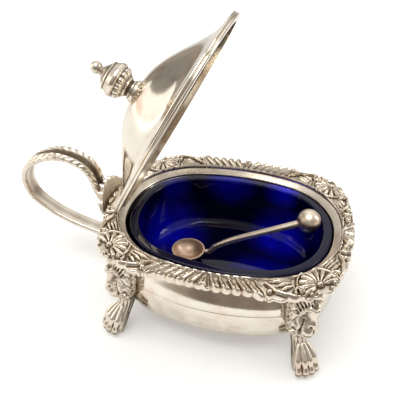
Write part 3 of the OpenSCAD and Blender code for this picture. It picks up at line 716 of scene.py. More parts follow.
def build_body():
    pot = values("pot_sizes")
    out, into, flange_z, floor_z = body_profile(pot)
    crease_z, crease_d, crease_w = pot.belly_h + 0.4, 0.16, 0.28
    # Painted shade below the belly: the lower bowl is darkened towards the tarnish colour and made rougher,
    # standing for the shadowed paper that it mirrors
    painted_shade_z, painted_shade_run, painted_shade_depth = pot.belly_h + 0.3, 0.5, 0.36
    down = np.maximum(0, np.cos(np.linspace(0, math.pi / 2, 41))) ** (2 / FULLNESS)
    high = np.linspace(pot.belly_h, flange_z, 121)[1:]
    outside = np.concatenate([mix(pot.belly_h, pot.body_base_h, down), high])
    inside = np.concatenate([mix(pot.belly_h, floor_z, down), high])
    rows = [(pot.belly_out - pot.base_in, pot.body_base_h, k) for k in BOTTOM_RINGS]
    rows += [(float(out(z) - crease_d * bump(z - crease_z, crease_w)), z, 1) for z in outside]
    rows += [(float(into(z)), z, 1) for z in inside[::-1]]
    rows += [(float(into(floor_z)), floor_z, k) for k in BOTTOM_RINGS[::-1]]
    # dull is that painted shade, row by row
    dull = painted_shade_depth * smooth((painted_shade_z - np.array([z for _, z, _ in rows])) / painted_shade_run)
    sheets = Sheets().add(opening_outline().swept(rows), wrap_v=True, shade=dull[:, None])
    make("body_shell_raised", "body_shell", sheets, polished(), "pot", (20, 1.0))


def build_collar():
    pot = values("pot_sizes")
    flange_z = pot.rim_h - pot.flange_t
    band_out = pot.band_w + pot.flange_w
    corners = [
        (0, pot.rim_h - pot.band_fall), (pot.band_w, pot.rim_h), (band_out, pot.rim_h), (band_out, flange_z),
        (pot.band_w - pot.wall_t / 2, flange_z), (0, flange_z - pot.band_fall)]
    rows = [(u, z, 1) for u, z in rounded(corners, 0.35)]
    sheets = Sheets().add(opening_outline().swept(rows), wrap_u=True, wrap_v=True)
    make("rim_collar_drawn", "rim_collar", sheets, chased(), "pot", (12, 1.0))


# Border

# Half of the seam between two sections, as a share of a quarter of the outline
SEAM = 0.002
# Height of the ground behind the relief, as a share of the relief's height
SIDE_GROUND, SHELL_GROUND = 0.26, 0.24
# Pitch of the drops at the ends, as a share of a section's length
DROP_PITCH = 0.185
# The fillet along the inner edge: a share of the relief's height, and its place and width in millimetres
FILLET_RISE, FILLET_AT, FILLET_W = 0.42, 0.4, 0.34
# Where the relief rolls down to the outer edge, and the least heights at that edge and elsewhere, as shares
ROLL_FROM, ROLL_RUN = 0.86, 0.14
EDGE_LIFT, LEAST_LIFT = 0.12, 0.14
# Height below the rim to which the outer edge first hangs down, before it reaches its full drop
EDGE_BEND = 0.35


class BorderPlan:
    """One struck section of the border, with places along (g) and across (v) from 0 to 1."""

    def __init__(self, t0, t1, reach):
        self.pot, self.border = values("pot_sizes"), values("border_sizes")
        self.opening, self.edge = opening_outline(), border_outline()
        self.t0, self.t1, self.reach = t0 + SEAM, t1 - SEAM, reach

    def ends(self, g):
        """The points on the section's inner and outer edges."""
        t = mix(self.t0, self.t1, g)
        inner = self.opening.at(self.pot.band_w, t)
        return inner, mix(inner, self.edge.at(0, t), self.reach(g)[:, None])

    def line(self, places, side=0):
        """The points at places (g, v); with a side of -1 or 1, g starts at the middle and runs that way."""
        g, v = np.array(places, float).T
        inner, outer = self.ends(0.5 + side * g if side else g)
        return mix(inner, outer, v[:, None])

    def build(self, label, strike, ground, along, across, notch=None):
        """Makes the section; strike lays its relief, and a notch gives the hinge's half width and end."""
        border, rim_h = self.border, self.pot.rim_h
        v = np.linspace(0, 1, across)
        inner, outer = self.ends(np.linspace(0, 1, along))
        if notch:
            half_w, notch_x = notch
            open_k = 1 - smooth((np.abs(inner[:, 1]) - half_w) / 0.2)
            inner[:, 0] = mix(inner[:, 0], np.minimum(inner[:, 0], notch_x), open_k)
        flat = mix(inner[:, None], outer[:, None], v[None, :, None])
        width = np.linalg.norm(outer - inner, axis=1)[:, None]
        fillet = FILLET_RISE * bump(v * width - FILLET_AT, FILLET_W)
        relief = Relief(self, flat, ground + fillet)
        strike(relief)
        roll = np.sqrt(np.maximum(0, 1 - np.clip((v - ROLL_FROM) / ROLL_RUN, 0, 1) ** 2))
        lift = mix(EDGE_LIFT, np.maximum(LEAST_LIFT, relief.height), roll) * border.relief_h
        top = np.dstack([flat, rim_h + lift])
        hung = [np.column_stack([outer, np.full(along, rim_h - z)]) for z in (EDGE_BEND, border.edge_drop)]
        seat = mix(inner, outer, np.minimum(0.9, 1.25 * self.pot.flange_w / np.maximum(0.5, width)))
        under = [np.column_stack([q, np.full(along, rim_h)]) for q in (seat, inner)]
        loop = np.concatenate([top, np.stack(hung + under, 1)], 1)
        sheets = Sheets().add(loop, wrap_v=True, cap=True)
        make(f"{label}_struck", label, sheets, chased(), "pot", (10, 0.22), 60)


class Relief:
    """The height of a section's relief: the highest of all that is struck into it."""

    def __init__(self, plan, flat, height):
        self.plan, self.flat, self.height = plan, flat, height

    def lay(self, height):
        self.height = np.maximum(self.height, height)

    def stroke(self, line, radius, height):
        self.lay(stroke(self.flat, line, radius, height))

    def bead(self, centre, r, height):
        gap = np.linalg.norm(self.flat - centre, axis=-1) / r
        self.lay(height * np.sqrt(np.maximum(0, 1 - gap ** 2)))

    def curl(self, eye, radii, start, turns, thickness):
        line = spiral(eye, *radii, start, turns)
        self.stroke(line, np.linspace(*thickness, len(line)), 0.85)

    def leaf(self, side, start, tip, radius, height):
        bend = (mix(start[0], tip[0], 0.5), mix(start[1], tip[1], 0.3))
        self.stroke(self.plan.line([start, bend, tip], side), radius, height)


def strike_side(relief):
    """Gadroons that lean towards the middle of a side, each with a flute along it."""
    plan, n = relief.plan, relief.plan.border.gadroons
    for i in range(n + 1):
        middle = i / n
        lean = 1 if middle < 0.5 else -1
        if abs(middle - 0.5) < 0.5 / n:
            line = plan.line([(0.5, v) for v in (0.2, 0.5, 0.78, 1)])
        else:
            line = plan.line([(middle + lean * g, v) for g, v in (
                (0.04, 0.14), (0.026, 0.32), (0.004, 0.55), (-0.018, 0.78), (-0.03, 1.0))])
        k = np.linspace(0, 1, len(line))
        radius = np.interp(k, [0, 0.5, 0.8, 1], [0.4, 1.05, 1.5, 1.6])
        height = np.interp(k, [0, 0.45, 0.8, 1], [0.5, 0.86, 1.0, 0.95])
        flute = 0.25 * stroke(relief.flat, mix(line[:-1], line[1:], 0.4), 0.26, 0.9)
        relief.lay(stroke(relief.flat, line, radius, height) - flute)


def strike_corner(relief):
    """A shell fanned inwards from the corner, with beads, scrolls and leaves on both sides."""
    plan = relief.plan
    rim, edge = plan.line([(0.5, 0), (0.5, 1)])
    inward = (rim - edge) / np.linalg.norm(rim - edge)
    focus = edge + 3.0 * inward
    base = math.atan2(inward[1], inward[0])

    def ray(a, r):
        return focus + r * np.array([math.cos(base + a), math.sin(base + a)])

    for a in np.radians(np.linspace(-98, 98, plan.border.corner_ribs)):
        line = [ray(a, r) for r in (1.3, 2.6, 4.2, 5.6)]
        relief.stroke(line, [0.25, 0.55, 0.9, 0.95], [0.6, 0.85, 0.95, 0.85])
    relief.stroke([ray(a, 6.9) for a in np.linspace(-1.6, 1.6, 15)], 0.42, 0.72)
    relief.bead(focus, 1.15, 1.05)
    for side in (-1, 1):
        for place in plan.line([(0.07, 0.93), (0.13, 0.9)], side):
            relief.bead(place, 0.8, 0.8)
        eye, last = plan.line([(0.2, 0.72), (0.465, 0.72)], side)
        relief.curl(eye, (0.5, 1.75), base + side * 2.2, side * 0.9, (0.35, 0.6))
        relief.bead(eye, 0.62, 0.95)
        relief.bead(last, 1.0, 0.95)
        sweep = [(0.2, 0.95), (0.27, 0.94), (0.34, 0.88), (0.4, 0.7), (0.44, 0.45), (0.47, 0.3)]
        relief.stroke(plan.line(sweep, side), [0.5, 0.75, 0.8, 0.7, 0.5, 0.3], 0.88)
        for start, tip in (
                ((0.23, 0.3), (0.38, 0.42)), ((0.24, 0.46), (0.36, 0.62)), ((0.22, 0.18), (0.42, 0.2))):
            relief.leaf(side, start, tip, [0.35, 0.72, 0.2], [0.6, 0.85, 0.55])


def strike_end(relief):
    """Three large drops, each with a seam, and beads, scrolls and leaves on both sides."""
    plan = relief.plan
    for k in (-1, 0, 1):
        line = plan.line([(0.5 + g * k, v) for g, v in (
            (0.05, 0.08), (0.11, 0.36), (0.16, 0.68), (DROP_PITCH, 0.95))])
        drop = stroke(relief.flat, line, [0.7, 1.5, 2.1, 2.2], [0.7, 0.95, 1.1, 1.05])
        seam = 0.4 * stroke(relief.flat, line[1:], [0.3, 0.4, 0.3], [0.5, 1, 0.6])
        relief.lay(drop - seam)
    for side in (-1, 1):
        large, small, eye = plan.line([(0.31, 0.6), (0.1, 0.2), (0.4, 0.5)], side)
        relief.bead(large, 1.05, 1.05)
        relief.bead(small, 0.6, 0.8)
        relief.curl(eye, (0.4, 1.3), side * 1.0, side * 1.1, (0.28, 0.5))
        tail = plan.line([(0.34, 0.95), (0.41, 0.9), (0.46, 0.66), (0.49, 0.3)], side)
        relief.stroke(tail, [0.6, 0.8, 0.6, 0.35], 0.85)
        for start, tip in (((0.2, 0.14), (0.34, 0.2)), ((0.3, 0.2), (0.46, 0.18))):
            relief.leaf(side, start, tip, [0.3, 0.6, 0.2], [0.6, 0.8, 0.5])


def build_border():
    pot, border, lid = values("pot_sizes"), values("border_sizes"), values("lid_sizes")
    side, end = border.side_share, border.end_share

    # How far out a section reaches at g, as a share of the border's width
    def side_reach(g):
        to_ends = smooth((np.abs(g - 0.5) - 0.36) / 0.14)
        lobes = rib(np.minimum(g, 1 - g) + 0.03, border.gadroons) ** 0.5
        return mix(0.63, 0.86, to_ends) + mix(0.17, 0.12, to_ends) * lobes

    def shell_reach(g):
        return 0.92 - 0.1 * bump(g - 0.5, 0.42) + 0.08 * rib(g, border.corner_ribs)

    def end_reach(g):
        drops = sum(bump(g - 0.5 - DROP_PITCH * k, 0.075) for k in (-1, 0, 1))
        return 0.86 + 0.14 * np.clip(drops + 0.5 * bump(np.abs(g - 0.5) - 0.42, 0.1), 0, 1)

    for label, middle in (("front", 2), ("back", 4)):
        plan = BorderPlan(middle - side, middle + side, side_reach)
        plan.build(f"border_gadroon_{label}", strike_side, SIDE_GROUND, 260, 40)
    for label, quarter in (("back_right", 0), ("front_right", 1), ("front_left", 2), ("back_left", 3)):
        t0 = quarter + side if quarter % 2 == 0 else quarter + 1 - end
        plan = BorderPlan(t0, t0 + end - side, shell_reach)
        plan.build(f"border_shell_{label}", strike_corner, SHELL_GROUND, 220, 64)
    band_out = pot.band_w + pot.flange_w
    hinge_notch = (lid.hinge_l / 2 + MOVE_GAP, -(pot.opening_l / 2 + band_out + MOVE_GAP))
    for label, middle, notch in (("free", 1, None), ("handle", 3, hinge_notch)):
        plan = BorderPlan(middle - (1 - end), middle + (1 - end), end_reach)
        plan.build(f"border_end_{label}", strike_end, SHELL_GROUND, 160, 40, notch)


# Feet

# A foot's tables are drawn in millimetres for these half widths, by height above the table
DRAWN_MASK_HALF_W, DRAWN_PAW_HALF_W, DRAWN_LEG_HALF_W = 6.3, 4.8, 2.7
PAW_HALF_WIDTHS = [(0, 3.2), (1.5, 3.6), (3, 3.7), (5, 3.5)]
LEG_HALF_WIDTHS = [(8, 2.6), (11, 2.0), (13.8, 2.2)]
MASK_HALF_WIDTHS = [(15.2, 3.4), (17.4, 4.4), (22, 4.8), (26, 5.0), (30, 5.0), (33, 4.9), (34.5, 4.5)]
PAW_MIDDLE = -1.1
FOOT_MIDDLES = [
    (0, PAW_MIDDLE), (8, PAW_MIDDLE), (12, -1.0), (16, -0.8), (20, -0.5), (26, -0.9), (34.5, -1.0)]
FOOT_FRONTS = [
    (0, 36.6), (1.5, 37.0), (3, 37.0), (5, 36.5), (8, 34.9), (11, 33.0), (13.4, 32.0), (14.6, 32.2),
    (15.5, 34.0), (17.5, 34.9), (22, 34.9), (26, 34.7), (30, 34.4), (33, 33.4), (34.5, 32.4)]
LEG_BACKS = [(0, 34.4), (1.5, 34.0), (3, 33.2), (6, 31.2), (9, 29.0), (12, 27.2), (14, 26.4), (40, 26.4)]
TABLE_EASE = 0.4
# Height where the leg goes over into the mask
MASK_FOOT_Z = 15.0

# The mask's swells and hollows: place across and up, reach across and up, and height
MASK_SWELLS = [
    (0, 20.9, 3.0, 3.4, 2.0),  # muzzle
    (0, 23.4, 1.4, 1.2, 0.9),  # nose
    (0, 26.6, 1.3, 2.6, 1.5),  # bridge of the nose
    (1.6, 20.6, 1.6, 1.7, 0.9),  # lips
    (0, 17.6, 1.6, 0.9, 0.9),  # chin
    (1.4, 18.8, 2.2, 0.45, -1.6),  # mouth
    (0, 20.8, 0.3, 1.3, -0.7),  # cleft of the lips
    (0.8, 22.9, 0.45, 0.45, -0.8),  # nostrils
    (2.5, 26.2, 1.2, 1.0, -1.7),  # eye sockets
    (2.5, 26.1, 0.7, 0.45, 0.9),  # eyes
    (4.0, 23.0, 1.3, 1.9, 0.7),  # cheeks
]
# The mask's middle beside the foot's
MASK_SHIFT = 0.9
# How far the mask's lower half is drawn down, below what height, and the run over which that comes about
JAW_DROP, JAW_FROM, JAW_RUN = 1.3, 27, 6
BROW = [(0.5, 27.6), (1.8, 28.5), (3.1, 28.2), (4.3, 26.6)]
CHEEK_FOLD = [(2.8, 24.6), (3.4, 22.4), (3.5, 19.4)]

# A toe's middle line: place ahead, shares of the outer toes' set-back and of the spread, and height
TOE_LINE = [
    (32.6, 0, 0.35, 11.2), (34.6, 0.5, 0.7, 9.4), (37.0, 1, 1, 6.6), (38.2, 1, 1.08, 4.6),
    (38.9, 1, 1.1, 2.9), (38.6, 1, 1.08, 1.0)]
TOE_RADII = [0.45, 0.75, 1.3, 0.9, 1.25, 0.95]
# Pitch of the toes as a share of the paw's half width, and how far the outer ones are set back
TOE_PITCH, TOE_SET_BACK = 0.4, 0.8

# How far round the carved front runs to each side, in degrees, and the powers that square its section
FRONT_SWEEP = 132
SQUARED_ACROSS, SQUARED_AHEAD = 0.85, 0.8


def mask_relief(at):
    """The lion mask's carving, for points of (distance round from the middle, height)."""
    y = np.abs(at[..., 0] + MASK_SHIFT)
    z = at[..., 1] + JAW_DROP * smooth((JAW_FROM - at[..., 1]) / JAW_RUN)
    half = np.stack([y, z], -1)
    h = sum(rise * bump(y - y0, wide) * bump(z - z0, tall) for y0, z0, wide, tall, rise in MASK_SWELLS)
    h += 1.2 * stroke(half, BROW, [0.6, 0.9, 0.85, 0.4], 1.0)
    h -= 1.1 * stroke(half, CHEEK_FOLD, [0.35, 0.5, 0.5], 1.0)
    for k in range(6):
        y0, z0 = 0.4 + 0.8 * k, 29.4 - 0.08 * k * k
        hair = [(y0, z0), (1.2 * y0 + 0.2, z0 + 2.0), (1.5 * y0 + 0.4, z0 + 4.8)]
        h += 0.85 * stroke(half, hair, [0.32, 0.5, 0.52], [0.7, 1.0, 0.9])
    for start, lean, z_top in ((4.9, 2.4, 29.0), (7.2, 2.6, 28.4)):
        for k in range(4):
            z0 = z_top - 2.9 * k
            steps = ((0, 0), (0.4, 0.1), (0.8, -1.2), (1, -3.4))
            lock = [(start + across * lean, z0 + up) for across, up in steps]
            h += 0.75 * stroke(half, lock, [0.45, 1.0, 1.1, 0.5], [0.6, 1.0, 0.95, 0.5])
    curl = spiral((5.0, 19.2), 0.3, 1.7, 0.5, 1.4)
    return h + 0.8 * stroke(half, curl, np.linspace(0.35, 0.65, len(curl)), 0.9)


def leg_relief(at):
    """Tendons down the leg to the toes."""
    half = np.stack([np.abs(at[..., 0]), at[..., 1]], -1)
    h = 0
    for k in range(4):
        tendon = [(0.5 + 1.2 * k, 16.0), (0.6 + 1.3 * k, 12.0), (0.8 + 1.5 * k, 8.0)]
        h = h + 0.55 * stroke(half, tendon, [0.4, 0.6, 0.5], [0.8, 1.0, 0.6])
    return h


def toes(foot):
    """The four toes, as rods in the foot's own frame, each with its shade."""
    rods = []
    for k in (-1.5, -0.5, 0.5, 1.5):
        y = k * TOE_PITCH * foot.paw_half_w
        back = TOE_SET_BACK if abs(k) > 1 else 0.0
        line = [(ahead - k_back * back, PAW_MIDDLE + spread * y, z) for ahead, k_back, spread, z in TOE_LINE]
        rods.append(rod(line, TOE_RADII))
    return rods


def rod(points, radii, n=40, sides=20):
    """A bent round rod with rounded ends, and the shade of its lower side."""
    k = np.linspace(0, 1, n)
    line = curve_at(points, k)
    r = np.interp(k, np.linspace(0, 1, len(radii)), radii)
    r = r * np.sqrt(np.clip(1 - np.clip(1 - np.minimum(k, 1 - k) / 0.12, 0, 1) ** 2, 0, 1))
    along = directions(line)
    side = np.cross(along, (0, 0, 1))
    side /= np.maximum(1e-6, np.linalg.norm(side, axis=1, keepdims=True))
    up = np.cross(side, along)
    a = np.arange(sides)[None, :, None] * 2 * math.pi / sides
    rings = line[:, None] + r[:, None, None] * (np.cos(a) * up[:, None] + np.sin(a) * side[:, None])
    # Painted shade, growing as the surface turns away from the rod's top
    return rings, 1.1 * smooth((0.6 - np.cos(a[..., 0])) / 0.9)


def mask_and_leg(pot, foot):
    """A foot's mask, leg and paw as one sheet in the foot's own frame, with its shade."""
    out, _, flange_z, _ = body_profile(pot)
    levels, front_n, back_n = 210, 120, 13
    z = np.linspace(0.02, flange_z - 0.02, levels)
    half_widths = []
    for table, half_w, drawn in (
            (PAW_HALF_WIDTHS, foot.paw_half_w, DRAWN_PAW_HALF_W),
            (LEG_HALF_WIDTHS, foot.leg_half_w, DRAWN_LEG_HALF_W),
            (MASK_HALF_WIDTHS, foot.mask_half_w, DRAWN_MASK_HALF_W)):
        half_widths += [(height, wide * half_w / drawn) for height, wide in table]
    half, front_r, middle, leg_back = (
        eased(z, table, TABLE_EASE)[:, None] for table in (half_widths, FOOT_FRONTS, FOOT_MIDDLES, LEG_BACKS))
    z = z[:, None]
    sole = np.sqrt(np.maximum(0, 1 - np.clip(1 - z / 0.9, 0, 1) ** 2))
    half = half * mix(0.9, 1, sole)
    body_r = pot.opening_corner_r + out(z) + SEAT_GAP
    back_r = np.maximum(leg_back, np.where(z > 9, body_r, 0))
    wrap = smooth((z - 16) / 3)

    def against(y):
        return mix(back_r, np.sqrt(np.maximum(0, body_r ** 2 - y ** 2)), wrap)

    turn = np.radians(np.linspace(-FRONT_SWEEP, FRONT_SWEEP, front_n))
    across = powered(np.sin(turn), SQUARED_ACROSS)
    ahead = 0.42 + 0.58 * powered(np.cos(turn), SQUARED_AHEAD)
    y = middle + half * across
    zz = np.broadcast_to(z, y.shape)
    swell = (front_r - back_r) * ahead * mix(0.92, 1, sole)
    front = np.dstack([against(y) + np.maximum(0.1, swell), y, zz])

    steps = np.linalg.norm(np.diff(front, axis=1), axis=2)
    reach = np.concatenate([np.zeros((levels, 1)), np.cumsum(steps, axis=1)], 1)
    at = np.dstack([reach - 0.5 * reach[:, -1:], zz])
    normal = np.cross(np.gradient(front, axis=1), np.gradient(front, axis=0))
    normal /= np.maximum(1e-9, np.linalg.norm(normal, axis=2, keepdims=True))
    masked = smooth(z - MASK_FOOT_Z)
    round_k = np.abs(turn / turn[-1])
    carving = (1 - round_k ** 3) * mix(leg_relief(at), mask_relief(at), masked)
    front = front + carving[..., None] * normal

    y = middle + half * across[-1] * np.linspace(1, -1, back_n)
    back = np.dstack([against(y), y, np.broadcast_to(z, y.shape)])
    # Painted shade on the flanks of the leg and mask, under the chin, and on the back against the body
    shade = mix(0.6, 0.3, masked) * smooth((round_k - 0.5) / 0.4) + 0.8 * bump(zz - 14.9, 1.2)
    shade = np.concatenate([shade, np.full((levels, back_n), 0.6)], 1)
    return np.concatenate([front, back], 1), shade


def build_feet():
    pot, foot = values("pot_sizes"), values("foot_sizes")
    corner = opening_outline().corner
    parts = [mask_and_leg(pot, foot), *toes(foot)]
    c, s = math.cos(foot.turn), math.sin(foot.turn)

    def placed(p):
        x, y, z = np.moveaxis(p, -1, 0)
        return np.stack([x * c - y * s + corner[0], x * s + y * c + corner[1], z], -1)

    for row, sy in (("front", -1), ("back", 1)):
        for end, sx in (("left", -1), ("right", 1)):
            node = f"lion_foot_{row}_{end}"
            sheets = Sheets()
            for grid, shade in parts:
                sheets.add(placed(grid) * np.array([sx, sy, 1]), wrap_v=True, cap=True, shade=shade)
            make(f"{node}_cast", node, sheets, chased(), "pot", (12, 0.3), 60)


# Handle

# The loop's middle line: shares of the reach from the border's end, and of a rise
UPPER_LOOP = [
    (-0.034, 0.02), (0.1, 0.17), (0.163, 0.4), (0.23, 0.75), (0.365, 0.94), (0.58, 1), (0.81, 0.85),
    (0.96, 0.61), (1, 0.3)]
LOWER_LOOP = [(0.93, 0.74), (0.74, 0.46), (0.5, 0.26), (0.24, 0.12), (0.04, 0.03)]
# Depths of the strap's relief, as shares of its thickness
CHANNEL_DEPTH, ROPE_RISE, TWIST_RISE, HOLLOW_DEPTH, INNER_SWELL = 0.30, 0.14, 0.25, 0.07, 0.10
ROPE_TWISTS = 40
# Shares of the loop's length: where the strap is widest, where its rope starts and ends, and where its
# channel narrows, the last three with the run over which that comes about
WIDEST_AT = 0.38
ROPE_START, ROPE_END, NARROWING = (0.02, 0.05), (0.46, 0.09), (0.34, 0.2)
LEAF_LOBES = 3.5


def handle_line(pot, handle):
    """The points of the loop's middle line, from its root under the flange to its foot on the belly."""
    out, _, flange_z, _ = body_profile(pot)
    end_x, t = -border_half()[0], handle.strap_t
    root_z, foot_z = flange_z - 0.5 - t, pot.body_base_h + handle.foot_h
    loop_top, loop_x = pot.rim_h + handle.rise, end_x - handle.reach

    def against(z):
        return -(pot.opening_l / 2 + max(float(out(z - t / 2)), float(out(z + t / 2))) + SEAT_GAP), z

    upper = [(mix(end_x, loop_x, a), mix(root_z, loop_top, b)) for a, b in UPPER_LOOP]
    lower = [(mix(end_x, loop_x, a), mix(foot_z, pot.rim_h, b)) for a, b in LOWER_LOOP]
    return [against(root_z), *upper, *lower, against(foot_z)]


def build_handle():
    pot, handle = values("pot_sizes"), values("handle_sizes")
    k = np.linspace(0, 1, 420)
    p = curve_at(handle_line(pot, handle), k)
    along = directions(p)
    along[0], along[-1] = (-1, 0), (1, 0)
    outward = np.column_stack([along[:, 1], -along[:, 0]])
    a = np.linspace(0, 2 * math.pi, 72, endpoint=False)
    x, face = powered(np.cos(a), 0.62), powered(np.sin(a), 0.72)
    outer, inner = ((face * way > 0) * np.abs(face) ** 0.5 for way in (1, -1))

    k = k[:, None]

    def past(start, run):
        return smooth((k - start) / run)

    half = handle.strap_w / 2 * (0.72 + 0.28 * smooth(1 - np.abs(k - WIDEST_AT) / WIDEST_AT))
    roped = past(*ROPE_START) * (1 - past(*ROPE_END))
    reach = np.maximum(0.02, 1 - past(*NARROWING))
    ridge = bump(np.abs(x) - 0.72 * mix(0.5, 1, reach), 0.2)
    twist = np.abs(np.sin(math.pi * (ROPE_TWISTS * k - 1.7 * np.abs(x)))) ** 0.7 - 0.6
    channel = CHANNEL_DEPTH * roped * bump(x / reach, 0.42) * outer
    rope = roped * ridge * outer * (ROPE_RISE + TWIST_RISE * twist)
    plain = HOLLOW_DEPTH * (1 - roped) * bump(x, 0.5) * outer
    depth = (0.47 * face - channel + rope - plain + INNER_SWELL * bump(x, 0.55) * inner) * handle.strap_t
    y = half * x * (1 + 0.05 * roped * twist * (np.abs(x) > 0.9))
    grid = np.dstack([
        p[:, 0:1] + outward[:, 0:1] * depth, np.clip(y, -half, half), p[:, 1:2] + outward[:, 1:2] * depth])
    sheets = Sheets().add(grid, wrap_v=True, cap=True)
    make("handle_cast", "handle", sheets, chased(), "pot", (14, 0.4), 60)
    build_leaf(pot, handle)


def build_leaf(pot, handle):
    edge, border = border_outline(), values("border_sizes")
    foot_level = pot.rim_h - border.edge_drop
    e = np.linspace(-1, 1, 181)[:, None]
    s = np.linspace(0, 1, 40)
    lobes = 0.86 + 0.14 * rib(e, LEAF_LOBES)
    rise = s * (handle.leaf_rise * np.maximum(0.02, 1 - e * e) ** 0.8 * lobes + 0.6)
    y = handle.leaf_half_w * e
    edge_x = edge.at(0, 3 + y / sum(edge.arcs(0)))[..., 0] - SEAT_GAP
    turns = 2 * math.pi * LEAF_LOBES * e
    curl = 0.4 * np.cos(turns) + 0.4 * np.cos(3 * turns) * s ** 0.5
    front = edge_x - 0.3 * rise
    inner, outer = (
        np.dstack([x, np.broadcast_to(y, rise.shape), foot_level + rise])
        for x in (front, front - (handle.leaf_t + curl)))
    sheets = Sheets().add(np.concatenate([inner, outer[:, ::-1]], 1), wrap_v=True, cap=True)
    make("handle_leaf_cast", "handle_leaf", sheets, chased(), "pot", (12, 0.3), 60)


# Lid, hinge and finial

# How far the lid's edge stays inside the band's outer edge, and the dome's foot inside the lid's edge
LID_INSET, DOME_INSET = 0.6, 0.8


class LidPlan:
    """Where the lid's parts sit while it is closed, in millimetres."""

    def __init__(self):
        pot, lid = values("pot_sizes"), values("lid_sizes")
        self.pot, self.sizes = pot, lid
        self.out = pot.band_w - LID_INSET
        self.foot_out = self.out - DOME_INSET
        self.seat_z = pot.rim_h + SEAT_GAP
        self.top_r = lid.finial_base_r + 2 * SEAT_GAP
        end_x = pot.opening_l / 2 + self.out - lid.set_in
        self.hinge = (-(end_x + lid.knuckle_r + MOVE_GAP), pot.rim_h + lid.knuckle_r + 2 * SEAT_GAP)
        half_l = (pot.opening_l - lid.set_in) / 2
        self.outline = Oblong(half_l, pot.opening_w / 2, pot.opening_corner_r, pot.side_bow, pot.end_bow)

    def opened(self, shift=0):
        """The turn about the hinge that opens a piece drawn closed, its middle shifted from the pot's."""
        c, s = math.cos(self.sizes.angle), math.sin(self.sizes.angle)
        hinge_x, hinge_z = self.hinge

        def change(p):
            x, z = p[:, 0] + shift - hinge_x, p[:, 2] - hinge_z
            return np.column_stack([hinge_x + x * c - z * s, p[:, 1], hinge_z + x * s + z * c])

        return change


def rod_y(profile, hinge, n=40):
    """A turned piece of (radius, place along y) rows, on the hinge's axis."""
    rings = lathe(profile, n)
    return np.stack([hinge[0] + rings[..., 0], rings[..., 2], hinge[1] + rings[..., 1]], -1)


def block(x0, x1, z0, z1, half_w, corner_r, ease=0.12):
    """A bar across the hinge's axis, with its corners and ends eased."""
    outline = rounded([(x0, z0), (x1, z0), (x1, z1), (x0, z1)], corner_r)
    middle = outline.mean(0)
    ends = [(0, 0), (0, 0.9), (0.3 * ease, 0.97), (ease, 1)]
    rows = [(-half_w + inset, k) for inset, k in ends] + [(half_w - inset, k) for inset, k in ends[::-1]]
    rings = []
    for y, k in rows:
        xz = middle + (outline - middle) * k
        rings.append(np.column_stack([xz[:, 0], np.full(len(xz), y), xz[:, 1]]))
    return np.array(rings)


def knuckle(y0, y1, r, bore, ease=0.15):
    return [(bore, y0), (r - ease, y0), (r, y0 + ease), (r, y1 - ease), (r - ease, y1), (bore, y1)]


def build_hinge():
    plan = LidPlan()
    pot, lid, hinge = plan.pot, plan.sizes, plan.hinge
    half, mid, r = lid.hinge_l / 2, lid.mid_knuckle_l / 2, lid.knuckle_r
    bore = lid.pin_r + RUN_GAP
    outer_l = half - mid - 0.1
    plate_t, tab_half_t = 0.5, 0.4 * r
    sheets = Sheets()
    for y0 in (-half, half - outer_l):
        sheets.add(rod_y(knuckle(y0, y0 + outer_l, r, bore), hinge), wrap_u=True, wrap_v=True)
    plate_x = -(pot.opening_l / 2 + pot.band_w + pot.flange_w)
    plate = block(plate_x, hinge[0] - 0.75 * r, pot.rim_h, pot.rim_h + plate_t, half, 0.12)
    sheets.add(plate, wrap_v=True)
    make("hinge_body_leaf_drawn", "hinge_body_leaf", sheets, polished(), "pot")

    pin_r, ease = lid.pin_r, 0.2
    pin = [
        (0, -half), (0.6 * pin_r, -half), (pin_r, -half + ease),
        (pin_r, half - ease), (0.6 * pin_r, half), (0, half)]
    sheets = Sheets().add(rod_y(pin, hinge), wrap_v=True)
    make("hinge_pin_turned", "hinge_pin", sheets, polished(), "pot")

    sheets = Sheets().add(rod_y(knuckle(-mid, mid, r, bore), hinge), wrap_u=True, wrap_v=True)
    tab_x = hinge[0] + r + MOVE_GAP - 0.02
    tab = block(hinge[0] + 0.8 * r, tab_x, hinge[1] - tab_half_t, hinge[1] + tab_half_t, mid, 0.1)
    sheets.add(tab, wrap_v=True)
    sheets.moved(plan.opened())
    make("hinge_lid_leaf_drawn", "hinge_lid_leaf", sheets, polished(), "lid")


